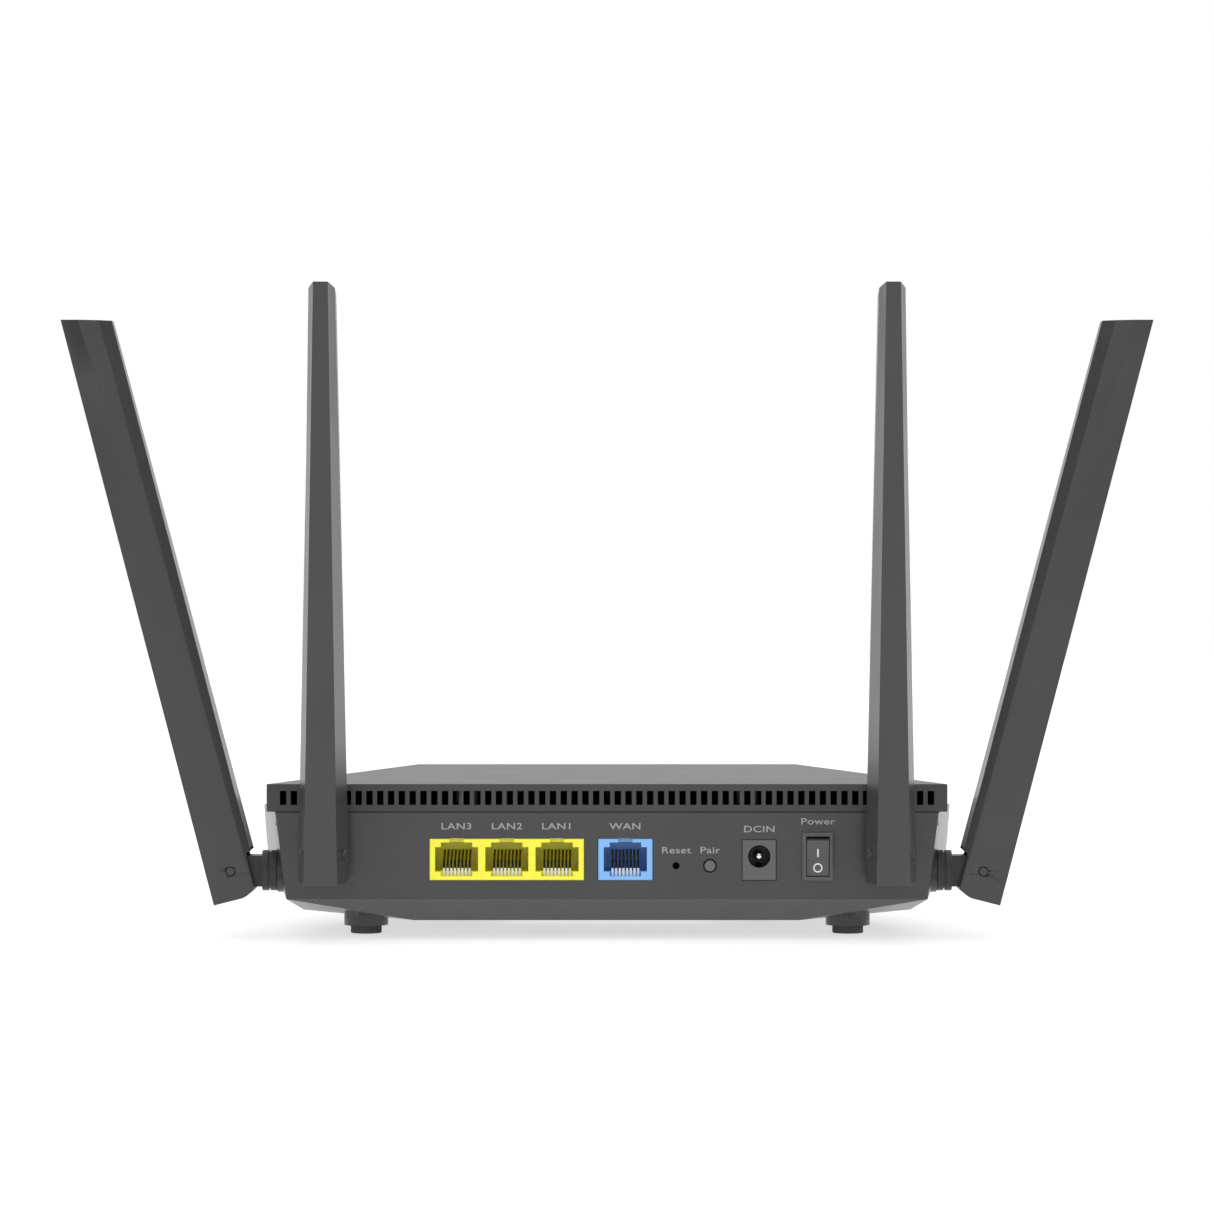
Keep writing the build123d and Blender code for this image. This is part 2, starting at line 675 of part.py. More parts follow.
with BuildPart() as heatsink:
    with BuildSketch(Plane.XY.offset(heatsink_base_z)):
        with Locations((0, at_depth(processor_depth))):
            Rectangle(heatsink_size[0], heatsink_size[1])
        with Locations(*heatsink_pin_points):
            Circle(heatsink_pin_diameter / 2 + heatsink_pin_gap, mode=Mode.SUBTRACT)
    extrude(amount=heatsink_size[2])
    fin_pitch = (heatsink_size[0] - 2 * fin_margin - fin_thickness) / (fin_count - 1)
    with BuildSketch(Plane.XY.offset(heatsink_base_z + heatsink_size[2])):
        with Locations((0, at_depth(processor_depth))):
            with GridLocations(fin_pitch, 1, fin_count, 1):
                Rectangle(fin_thickness, heatsink_size[1])
    extrude(amount=fin_top_z - heatsink_base_z - heatsink_size[2])
save(heatsink, "heatsink")

with BuildPart() as heatsink_pins:
    with BuildSketch(Plane.XY.offset(board_bottom_z - heatsink_pin_tail)):
        with Locations(*heatsink_pin_points):
            Circle(heatsink_pin_diameter / 2)
    extrude(amount=heatsink_base_z + heatsink_size[2] - board_bottom_z + heatsink_pin_tail)
    with BuildSketch(Plane.XY.offset(heatsink_base_z + heatsink_size[2])):
        with Locations(*heatsink_pin_points):
            Circle(heatsink_pin_head[0] / 2)
    extrude(amount=heatsink_pin_head[1])
save(heatsink_pins, "heatsink_pins")

with BuildPart() as shield_cans:
    with BuildSketch(Plane.XY.offset(board_top_z)):
        with Locations(*[(x, at_depth(depth)) for x, depth in shields_at]):
            Rectangle(shield_size[0], shield_size[1])
    extrude(amount=shield_size[2])
    fillet(shield_cans.edges().filter_by(Axis.Z), radius=shield_corner_radius)
    with BuildSketch(Plane.XY.offset(board_top_z)):
        with Locations(*[(x, at_depth(depth)) for x, depth in shields_at]):
            Rectangle(shield_size[0] - 2 * shield_skin, shield_size[1] - 2 * shield_skin)
    extrude(amount=shield_size[2] - shield_skin, mode=Mode.SUBTRACT)
save(shield_cans, "shield_cans")

with BuildPart() as capacitors:
    with BuildSketch(Plane.XY.offset(board_top_z)):
        with Locations(*[(x, at_depth(depth)) for x, depth in capacitors_at]):
            Circle(capacitor_diameter / 2)
    extrude(amount=capacitor_height)
    chamfer(capacitors.edges().group_by(Axis.Z)[-1], length=capacitor_chamfer)
save(capacitors, "capacitors")

# ---------------------------------------------------------------- status lights
led_depth = board_front_depth - led_size[1] / 2
guide_z = board_top_z + led_size[2] / 2
guide_start_y = at_depth(board_front_depth) + guide_led_gap
guide_knee_y = slope_middle.Y - (slope_middle.Z - guide_z) * slope_normal.Y / slope_normal.Z

save(blocks_on_board([(x, led_depth) for x in guide_points_x], led_size), "status_leds")

guide_path_points = [
    (0, guide_start_y, guide_z),
    (0, guide_knee_y, guide_z),
    (0, slope_middle.Y, slope_middle.Z),
]

with BuildPart() as guide_rod:
    with BuildLine() as guide_path:
        FilletPolyline(*guide_path_points, radius=guide_bend_radius)
    with BuildSketch(Plane(origin=guide_path_points[0], x_dir=(1, 0, 0), z_dir=(0, 1, 0))):
        Circle(guide_diameter / 2)
    sweep(path=guide_path.wires()[0])

with BuildPart() as light_guide:
    with GridLocations(led_pitch, 1, led_count, 1):
        add(guide_rod.part)
    with Locations((0, guide_start_y + guide_bar_size[0] / 2 + guide_bar_setback, guide_z)):
        Box((led_count - 1) * led_pitch, guide_bar_size[0], guide_bar_size[1])
save(light_guide, "light_guide")


# ---------------------------------------------------------------- network jacks
def jack_shell(x, width, socket_xs):
    """Plastic jack housing with keyed sockets open towards the port panel's outside."""
    with BuildPart() as shell:
        with BuildSketch(panel_plane.offset(port_proud)):
            with Locations((x, (board_top_z + jack_top_z) / 2)):
                Rectangle(width, jack_top_z - board_top_z)
        extrude(amount=-jack_length)
        chamfer(shell.edges().group_by(Axis.Y)[0], length=port_chamfer)
        with BuildSketch(panel_plane.offset(port_proud)):
            for socket_x in socket_xs:
                with Locations((socket_x, (socket_bottom_z + socket_top_z) / 2)):
                    Rectangle(socket_width, socket_top_z - socket_bottom_z)
                with Locations((socket_x, (socket_bottom_z + shoulder_top_z) / 2)):
                    Rectangle(shoulder_width, shoulder_top_z - socket_bottom_z)
        extrude(amount=-socket_length, mode=Mode.SUBTRACT)
        with BuildSketch(panel_plane.offset(port_proud)):
            for socket_x in socket_xs:
                with Locations((socket_x, (shoulder_top_z + jack_top_z) / 2)):
                    Rectangle(latch_width, jack_top_z - shoulder_top_z + latch_overrun)
                with Locations((socket_x, (comb_bottom_z + socket_bottom_z) / 2)):
                    Rectangle(shoulder_width, socket_bottom_z - comb_bottom_z)
        extrude(amount=-comb_length, mode=Mode.SUBTRACT)
    return shell


def jack_contacts(socket_xs):
    """Sprung contacts that rise from the front of each socket floor towards its back."""
    half = contact_thickness / 2
    foot_y = panel_y + comb_length - half
    with BuildPart() as contacts:
        for socket_x in socket_xs:
            for index in range(contact_count):
                contact_x = socket_x + (index - (contact_count - 1) / 2) * contact_pitch
                side_plane = Plane(
                    origin=(contact_x - contact_width / 2, 0, 0), x_dir=(0, 1, 0), z_dir=(1, 0, 0)
                )
                with BuildSketch(side_plane):
                    with BuildLine():
                        Polyline(
                            (foot_y - port_proud - half, comb_bottom_z),
                            (foot_y - port_proud - half, socket_bottom_z + contact_knee_rise),
                            (foot_y + contact_reach, socket_bottom_z + contact_rise),
                        )
                    trace(line_width=contact_thickness)
                extrude(amount=contact_width)
    return contacts


lan_sockets = [lan_block_x + (index - (lan_count - 1) / 2) * lan_pitch for index in range(lan_count)]
save(jack_shell(lan_block_x, lan_block_width, lan_sockets), "lan_jack_block")
save(jack_contacts(lan_sockets), "lan_contacts")
save(jack_shell(wan_x, wan_width, [wan_x]), "wan_jack")
save(jack_contacts([wan_x]), "wan_contacts")

# ---------------------------------------------------------------- power inlet
with BuildPart() as power_jack:
    with BuildSketch(panel_plane.offset(port_proud)):
        with Locations((power_jack_x, (board_top_z + power_jack_top_z) / 2)):
            Rectangle(power_jack_width, power_jack_top_z - board_top_z)
    extrude(amount=-power_jack_length)
    chamfer(power_jack.edges().group_by(Axis.Y)[0], length=port_chamfer)
    with BuildSketch(panel_plane.offset(port_proud)):
        with Locations((power_jack_x, power_bore_z)):
            Circle(power_bore_diameter / 2)
    extrude(amount=-power_bore_depth, mode=Mode.SUBTRACT)
    with BuildSketch(panel_plane.offset(port_proud)):
        with Locations((power_jack_x, power_bore_z)):
            Circle(power_pin_root_diameter / 2)
    extrude(amount=-power_jack_length, mode=Mode.SUBTRACT)
save(power_jack, "power_jack")

with BuildPart() as power_jack_pin:
    with BuildSketch(panel_plane.offset(-power_pin_tip_depth)):
        with Locations((power_jack_x, power_bore_z)):
            Circle(power_pin_diameter / 2)
    extrude(amount=power_pin_tip_depth + port_proud - power_bore_depth)
    fillet(power_jack_pin.edges().group_by(Axis.Y)[0], radius=power_pin_tip_radius)
    with BuildSketch(panel_plane.offset(port_proud - power_bore_depth)):
        with Locations((power_jack_x, power_bore_z)):
            Circle(power_pin_root_diameter / 2)
    extrude(amount=power_bore_depth - power_jack_length)
save(power_jack_pin, "power_jack_pin")

with BuildPart() as power_jack_spring:
    spring_width, spring_length, spring_thickness = power_spring_size
    with BuildSketch(panel_plane.offset(port_proud - power_bore_depth)):
        with Locations((power_jack_x, power_bore_z - power_spring_offset)):
            Rectangle(spring_width, spring_thickness)
    extrude(amount=spring_length)
save(power_jack_spring, "power_jack_spring")

# ---------------------------------------------------------------- power switch
rocker_pivot = Vector(switch_x, at_depth(rocker_pivot_depth), switch_z)
rocker_opening_width = rocker_width + 2 * rocker_side_gap
rocker_opening_height = rocker_height + 2 * rocker_end_gap

with BuildPart() as switch_housing:
    with BuildSketch(panel_plane):
        with Locations((switch_x, switch_z)):
            Rectangle(bezel_width, bezel_height)
    extrude(amount=bezel_proud)
    chamfer(switch_housing.edges().group_by(Axis.Y)[0], length=bezel_chamfer)
    with BuildSketch(panel_plane):
        with Locations((switch_x, switch_z)):
            Rectangle(switch_body_width, switch_body_height)
    extrude(amount=-switch_body_length)
    with BuildSketch(panel_plane.offset(bezel_proud)):
        with Locations((switch_x, switch_z)):
            Rectangle(rocker_opening_width, rocker_opening_height)
    extrude(amount=-switch_cavity_depth - bezel_proud, mode=Mode.SUBTRACT)
    with Locations(Location(rocker_pivot, (0, 90, 0))):
        Cylinder(
            rocker_pin_diameter / 2 + rocker_pin_gap,
            rocker_opening_width + 2 * rocker_pin_length,
            mode=Mode.SUBTRACT,
        )
save(switch_housing, "switch_housing")

# The rocker rests with its lower half pressed in, so its profile is turned about the pivot.
throw = math.radians(rocker_throw)
rocker_plane = Plane(
    origin=rocker_pivot - Vector(rocker_width / 2, 0, 0),
    x_dir=(0, -math.cos(throw), -math.sin(throw)),
    z_dir=(-1, 0, 0),
)
rocker_half = rocker_height / 2
rocker_profile = [
    (rocker_face_reach, 0),
    (rocker_end_reach, rocker_half),
    (rocker_bulge_reach[0], rocker_half + rocker_end_bulge),
    (rocker_bulge_reach[1], rocker_half + rocker_end_bulge),
    (-rocker_back_reach, rocker_back_half),
]
rocker_twin = [(reach, -z) for reach, z in reversed(rocker_profile[1:])]

with BuildPart() as switch_rocker:
    with BuildSketch(rocker_plane):
        with BuildLine():
            Polyline(*rocker_profile, *rocker_twin, close=True)
        make_face()
    extrude(amount=-rocker_width)
    with Locations(Location(rocker_pivot, (0, 90, 0))):
        Cylinder(
            rocker_pin_diameter / 2,
            rocker_opening_width + 2 * (rocker_pin_length - rocker_pin_end_gap),
        )
save(switch_rocker, "switch_rocker")

with BuildPart() as switch_terminals:
    with BuildSketch(Plane.XY.offset(board_bottom_z - terminal_tail)):
        with Locations((switch_x, terminal_y)):
            with GridLocations(terminal_pitch, 1, 2, 1):
                Rectangle(*terminal_size)
    extrude(amount=switch_z - board_bottom_z)
save(switch_terminals, "switch_terminals")

# ---------------------------------------------------------------- buttons
tact_width, tact_length = tact_size
tact_height = button_z + tact_head_room - board_top_z
plunger_tail_depth = tact_depth + tact_plunger_engaged


def tactile_switch(x):
    """Upright tactile switch on the board, bored for its plunger."""
    with BuildPart() as tact:
        with Locations((x, at_depth(tact_depth + tact_length / 2), board_top_z + tact_height / 2)):
            Box(tact_width, tact_length, tact_height)
        with BuildSketch(panel_plane.offset(-tact_depth)):
            with Locations((x, button_z)):
                Circle(tact_plunger_diameter / 2 + tact_plunger_clearance)
        extrude(amount=-tact_bore_depth, mode=Mode.SUBTRACT)
    return tact


def tact_plunger(x, tip_depth):
    """Plunger from its tip behind the panel to its tail inside the tactile switch."""
    with BuildPart() as plunger:
        with BuildSketch(panel_plane.offset(-tip_depth)):
            with Locations((x, button_z)):
                Circle(tact_plunger_diameter / 2)
        extrude(amount=tip_depth - plunger_tail_depth)
    return plunger


flange_back_depth = wall + button_gap + pairing_flange_thickness
save(tactile_switch(pairing_x), "pairing_switch")
save(tactile_switch(reset_x), "reset_switch")
save(tact_plunger(pairing_x, flange_back_depth), "pairing_plunger")
save(tact_plunger(reset_x, wall + reset_setback), "reset_plunger")

with BuildPart() as pairing_button:
    with BuildSketch(panel_plane.offset(pairing_proud)):
        with Locations((pairing_x, button_z)):
            Circle(pairing_cap_diameter / 2)
    extrude(amount=-pairing_proud - wall - button_gap)
    fillet(pairing_button.edges().group_by(Axis.Y)[0], radius=pairing_edge_radius)
    with BuildSketch(panel_plane.offset(-wall - button_gap)):
        with Locations((pairing_x, button_z)):
            Circle(pairing_flange_diameter / 2)
    extrude(amount=-pairing_flange_thickness)
save(pairing_button, "pairing_button")


# ---------------------------------------------------------------- antennas
# An antenna's own frame has its tilt pin along X, the wall towards +Y and the blade up along Z.
def swivel_knuckle():
    """Knuckle with a tongue round the tilt pin, a collar, and a hollow spigot for its socket."""
    collar_front = swivel_reach - collar_gap
    clip_start = swivel_reach + socket_boss_length
    spigot_end = clip_start + spigot_overrun
    face_away = Plane(origin=(0, 0, 0), x_dir=(1, 0, 0), z_dir=(0, 1, 0))
    with BuildPart() as knuckle:
        with BuildSketch(Plane.YZ.offset(-tongue_width / 2)):
            Circle(tongue_height / 2)
            with Locations((tongue_length / 2, 0)):
                Rectangle(tongue_length, tongue_height)
        extrude(amount=tongue_width)
        with BuildSketch(face_away.offset(tongue_length)):
            Circle(collar_diameter / 2)
        extrude(amount=collar_front - tongue_length)
        with BuildSketch(face_away.offset((tongue_length + collar_front) / 2)):
            Circle(collar_diameter / 2)
            Circle(collar_diameter / 2 - collar_groove_depth, mode=Mode.SUBTRACT)
        extrude(amount=collar_groove_width / 2, both=True, mode=Mode.SUBTRACT)
        with BuildSketch(face_away.offset(collar_front)):
            Circle(spigot_diameter / 2)
        extrude(amount=spigot_end - collar_front)
        with BuildSketch(face_away.offset(clip_start)):
            Circle(spigot_diameter / 2)
            Circle(groove_diameter / 2, mode=Mode.SUBTRACT)
        extrude(amount=clip_thickness + clip_clearance, mode=Mode.SUBTRACT)
        # bore for the aerial lead: in along the spigot, and out at the top of the tongue
        with BuildSketch(face_away.offset(lead_exit_depth)):
            Circle(lead_bore_diameter / 2)
        extrude(amount=spigot_end - lead_exit_depth, mode=Mode.SUBTRACT)
        with BuildSketch(Plane.XY):
            with Locations((0, lead_exit_depth)):
                Circle(lead_bore_diameter / 2)
        extrude(amount=tongue_height, mode=Mode.SUBTRACT)
        with BuildSketch(Plane.YZ.offset(-tongue_width / 2)):
            Circle(hinge_pin_diameter / 2 + pin_clearance)
        extrude(amount=tongue_width, mode=Mode.SUBTRACT)
    return knuckle.part


# The cheeks' sloping outer faces are this far from the middle where the tilt pin comes out.
root_half_width, root_face_half, _, root_bevel, _ = blade_root
cheek_slope = (root_half_width - root_face_half) / root_bevel
pin_half_length = root_face_half + cheek_slope * blade_outer_depth


def blade_outline(section):
    """Corners of a section across the blade, with the outer face towards -Y."""
    half_width, face_half, back_half, bevel, back_bevel = section
    front = -blade_outer_depth
    back = blade_inner_depth
    right = [
        (face_half, front), (half_width, front + bevel),
        (half_width, back - back_bevel), (back_half, back),
    ]
    return right + [(-x, y) for x, y in reversed(right)]


def antenna_blade(length):
    """Hollow tapered blade whose lower end is a fork round the knuckle's tongue."""
    tip_z = length - blade_tail
    slot_half = tongue_height / 2 + slot_clearance
    slot_floor = slot_half + slot_clearance
    cavity_bottom = slot_floor + blade_skin
    cavity_top = tip_z - aerial_end_gap - 2 * blade_skin
    cavity_half = aerial_board_thickness / 2 + aerial_board_gap
    cavity_front = -blade_outer_depth + blade_skin
    cavity_back = blade_inner_depth - blade_skin
    slant = math.radians(blade_tip_slant)
    tip_cut = Plane(
        origin=(0, -blade_outer_depth, tip_z), z_dir=(0, math.sin(slant), math.cos(slant))
    )
    sections = (
        (0, blade_root), (blade_waist_height, blade_waist), (blade_neck_height, blade_neck),
        (length, blade_tip),
    )
    with BuildPart() as blade:
        for height, section in sections:
            with BuildSketch(Plane.XY.offset(height - blade_tail)):
                Polygon(*blade_outline(section), align=None)
        loft(ruled=True)
        split(bisect_by=tip_cut, keep=Keep.BOTTOM)
        # slot for the tongue, open downward and inward
        with BuildSketch(Plane.YZ.offset(-tongue_width / 2 - fork_clearance)):
            with BuildLine():
                Polyline(
                    (-slot_half, -2 * blade_tail),
                    (-slot_half, 0),
                    (0, slot_floor),
                    (2 * blade_inner_depth, slot_floor),
                    (2 * blade_inner_depth, -2 * blade_tail),
                    close=True,
                )
            make_face()
            Circle(slot_floor)
        extrude(amount=tongue_width + 2 * fork_clearance, mode=Mode.SUBTRACT)
        # cheeks set back from the inner face, with a rounded lower corner
        with BuildSketch(Plane.YZ.offset(-2 * root_half_width)):
            with BuildLine():
                Polyline(
                    (blade_inner_depth - fork_setback, -2 * blade_tail),
                    (blade_inner_depth - fork_setback, slot_floor - fork_setback),
                    (2 * blade_inner_depth, slot_floor + 2 * fork_setback),
                    (2 * blade_inner_depth, -2 * blade_tail),
                    close=True,
                )
            make_face()
        extrude(amount=4 * root_half_width, mode=Mode.SUBTRACT)
        with BuildSketch(Plane.YZ.offset(-2 * root_half_width)):
            with Locations((blade_inner_depth, -blade_tail)):
                Rectangle(2 * blade_inner_depth, 2 * blade_tail)
            Circle(tongue_length - cheek_clearance, mode=Mode.SUBTRACT)
        extrude(amount=4 * root_half_width, mode=Mode.SUBTRACT)
        # pin hole through both cheeks, with a groove round each end of the pin
        with BuildSketch(Plane.YZ):
            Circle(hinge_pin_diameter / 2)
        extrude(amount=2 * root_half_width, both=True, mode=Mode.SUBTRACT)
        for side in (-1, 1):
            with BuildSketch(Plane.YZ.offset(side * (pin_half_length - pin_ring_depth))):
                Circle(hinge_pin_diameter / 2 + pin_ring_width)
            extrude(amount=side * root_half_width, mode=Mode.SUBTRACT)
        # chamber for the aerial board
        with BuildSketch(Plane.XY.offset(cavity_bottom)):
            with Locations((0, (cavity_front + cavity_back) / 2)):
                Rectangle(2 * cavity_half, cavity_back - cavity_front)
        extrude(amount=cavity_top - cavity_bottom, mode=Mode.SUBTRACT)
    return blade.part


def aerial_board(length):
    """Printed aerial that stands edgewise between the blade's front and back walls."""
    bottom = tongue_height / 2 + 2 * slot_clearance + blade_skin
    top = length - blade_tail - 2 * aerial_end_gap - 2 * blade_skin
    front = -blade_outer_depth + blade_skin
    back = blade_inner_depth - blade_skin
    notch_depth, notch_length = aerial_notch_size
    with BuildPart() as board:
        with BuildSketch(Plane.YZ.offset(-aerial_board_thickness / 2)):
            with Locations(((front + back) / 2, (bottom + top) / 2)):
                Rectangle(back - front, top - bottom)
                with GridLocations(back - front, aerial_notch_spacing, 2, 2):
                    Rectangle(2 * notch_depth, notch_length, mode=Mode.SUBTRACT)
        extrude(amount=aerial_board_thickness)
    return board.part


def hinge_pin():
    """Tilt pin, flush with the outside of both cheeks."""
    with BuildPart() as pin:
        with BuildSketch(Plane.YZ.offset(-pin_half_length)):
            Circle(hinge_pin_diameter / 2)
        extrude(amount=2 * pin_half_length)
    return pin.part


def placed(piece, plane):
    """The piece moved from its own frame to the frame of a plane."""
    with BuildPart() as result:
        with Locations(plane.location):
            add(piece)
    return result


antenna_frames = {
    "rear_left": (rear_sockets[0], (1, 0, 0), rear_blade_length, 0.0),
    "rear_right": (rear_sockets[1], (1, 0, 0), rear_blade_length, 0.0),
    "side_left": (side_sockets[0], (0, -1, 0), side_blade_length, side_tilt),
    "side_right": (side_sockets[1], (0, 1, 0), side_blade_length, side_tilt),
}
knuckle = swivel_knuckle()
pin = hinge_pin()
clip_planes = []

for name, (socket, pin_direction, length, tilt) in antenna_frames.items():
    pivot = socket.origin + socket.z_dir * swivel_reach
    frame = Plane(origin=pivot, x_dir=pin_direction, z_dir=(0, 0, 1))
    lean = math.radians(tilt)
    blade_up = socket.z_dir * math.sin(lean) + Vector(0, 0, 1) * math.cos(lean)
    blade_frame = Plane(origin=pivot, x_dir=pin_direction, z_dir=blade_up)
    clip_planes.append(socket.offset(-socket_boss_length))
    save(placed(knuckle, frame), f"swivel_{name}")
    save(placed(pin, blade_frame), f"hinge_pin_{name}")
    save(placed(antenna_blade(length), blade_frame), f"blade_{name}")
    save(placed(aerial_board(length), blade_frame), f"aerial_board_{name}")

clip_mouth_width = groove_diameter - clip_mouth_narrowing

with BuildPart() as swivel_clips:
    for plane in clip_planes:
        with BuildSketch(plane):
            Circle(clip_outer_diameter / 2)
            Circle(groove_diameter / 2 + clip_clearance, mode=Mode.SUBTRACT)
            with Locations((0, clip_outer_diameter / 2)):
                Rectangle(clip_mouth_width, clip_outer_diameter, mode=Mode.SUBTRACT)
        extrude(amount=-clip_thickness)
save(swivel_clips, "swivel_clips")

# ---------------------------------------------------------------- aerial leads inside the case
lead_z = board_top_z + lead_plug_height / 2


def aerial_lead(points, start_direction):
    """Coaxial lead along straight runs with rounded bends."""
    with BuildPart() as lead:
        with BuildLine() as path:
            FilletPolyline(*points, radius=lead_bend_radius)
        with BuildSketch(Plane(origin=points[0], z_dir=start_direction)):
            Circle(lead_diameter / 2)
        sweep(path=path.wires()[0])
    return lead


def plug_edge(turn, plug):
    """Point where a lead that comes straight from `turn` meets its plug."""
    run = Vector(*turn) - Vector(*plug)
    return Vector(*plug) + run.normalized() * (lead_plug_diameter / 2)


plug_points = []
for side, word in ((-1, "left"), (1, "right")):
    exit_reach = swivel_reach - lead_exit_depth - lead_bore_diameter / 2
    rear_plug = (side * rear_lead_plug[0], at_depth(rear_lead_plug[1]), lead_z)
    rear_turn = (side * rear_lead_turn[0], at_depth(rear_lead_turn[1]), lead_z)
    side_plug = (side * side_lead_plug[0], at_depth(side_lead_plug[1]), lead_z)
    side_turn = (side * side_lead_turn[0], at_depth(side_lead_turn[1]), lead_z)
    rear_points = [
        Vector(side * rear_antenna_x, panel_y - exit_reach, rear_antenna_z),
        Vector(side * rear_antenna_x, at_depth(rear_lead_run), rear_antenna_z),
        Vector(*rear_turn),
        plug_edge(rear_turn, rear_plug),
    ]
    side_start_x = side_antenna_face_x + exit_reach
    side_points = [
        Vector(side * side_start_x, at_depth(side_antenna_depth), side_antenna_z),
        Vector(side_turn[0], at_depth(side_antenna_depth), side_antenna_z),
        Vector(*side_turn),
        plug_edge(side_turn, side_plug),
    ]
    save(aerial_lead(rear_points, (0, 1, 0)), f"lead_rear_{word}")
    save(aerial_lead(side_points, (-side, 0, 0)), f"lead_side_{word}")
    plug_points += [rear_plug[:2], side_plug[:2]]

with BuildPart() as lead_plugs:
    with BuildSketch(Plane.XY.offset(board_top_z)):
        with Locations(*plug_points):
            Circle(lead_plug_diameter / 2)
    extrude(amount=lead_plug_height)
save(lead_plugs, "lead_plugs")
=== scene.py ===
import json
import math

import bmesh
import bpy
from mathutils import Matrix, Vector
from mathutils.bvhtree import BVHTree


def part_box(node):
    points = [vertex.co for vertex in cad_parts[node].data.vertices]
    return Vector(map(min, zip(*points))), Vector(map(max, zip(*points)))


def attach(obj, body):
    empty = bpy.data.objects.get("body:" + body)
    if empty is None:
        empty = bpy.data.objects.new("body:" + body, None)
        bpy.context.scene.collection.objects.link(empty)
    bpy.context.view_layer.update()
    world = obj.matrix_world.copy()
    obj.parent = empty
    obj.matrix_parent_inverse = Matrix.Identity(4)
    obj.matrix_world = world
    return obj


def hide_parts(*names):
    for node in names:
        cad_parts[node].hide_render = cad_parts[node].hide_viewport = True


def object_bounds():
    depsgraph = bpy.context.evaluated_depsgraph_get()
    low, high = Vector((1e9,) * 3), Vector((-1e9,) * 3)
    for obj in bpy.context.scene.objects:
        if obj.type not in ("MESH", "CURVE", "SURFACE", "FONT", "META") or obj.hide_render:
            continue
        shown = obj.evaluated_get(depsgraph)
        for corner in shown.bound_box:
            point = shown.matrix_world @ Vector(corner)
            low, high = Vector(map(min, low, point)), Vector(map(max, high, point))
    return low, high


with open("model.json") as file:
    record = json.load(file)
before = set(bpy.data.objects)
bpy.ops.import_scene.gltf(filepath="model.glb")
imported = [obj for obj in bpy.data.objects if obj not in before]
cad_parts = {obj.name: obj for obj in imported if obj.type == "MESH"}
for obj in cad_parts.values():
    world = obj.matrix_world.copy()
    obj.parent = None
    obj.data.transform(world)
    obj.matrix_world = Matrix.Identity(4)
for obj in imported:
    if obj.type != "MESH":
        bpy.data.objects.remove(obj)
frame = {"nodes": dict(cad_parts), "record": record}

MM = 0.001
cad_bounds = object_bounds()
record = frame["record"]
mounts = {mount["name"]: Vector(mount["pos_m"]) for mount in record["mounts"]}
node_slot = {part["node"]: part["material_slot"] for part in record["subparts"]}
node_body = {node: body for body, nodes in record["behaviour"]["bodies"].items() for node in nodes}
ANTENNAS = ("rear_left", "rear_right", "side_left", "side_right")


# ---------------------------------------------------------------- shader maths
class Signal:
    """A number that varies over a surface. Arithmetic on it adds Math nodes."""

    def __init__(self, finish, socket):
        self.finish = finish
        self.socket = socket

    def math(self, operation, *values, clamp=False):
        settings = {"operation": operation, "use_clamp": clamp}
        return self.finish.node("ShaderNodeMath", settings, dict(enumerate(values)), "Value")

    def __add__(self, other):
        return self.math("ADD", self, other)

    def __radd__(self, other):
        return self.math("ADD", other, self)

    def __sub__(self, other):
        return self.math("SUBTRACT", self, other)

    def __rsub__(self, other):
        return self.math("SUBTRACT", other, self)

    def __mul__(self, other):
        return self.math("MULTIPLY", self, other)

    def __rmul__(self, other):
        return self.math("MULTIPLY", other, self)

    def size(self):
        """The signal without its sign."""
        return self.math("ABSOLUTE", self)

    def fraction(self):
        """What is left of the signal after its whole part."""
        return self.math("FRACT", self)

    def angle_over(self, other):
        """Angle in radians whose tangent is this signal over the other."""
        return self.math("ARCTAN2", self, other)

    def between(self, low, high):
        """0 at `low` and 1 at `high`, with a straight ramp from one to the other."""
        return self.math("MULTIPLY", self - low, 1 / (high - low), clamp=True)


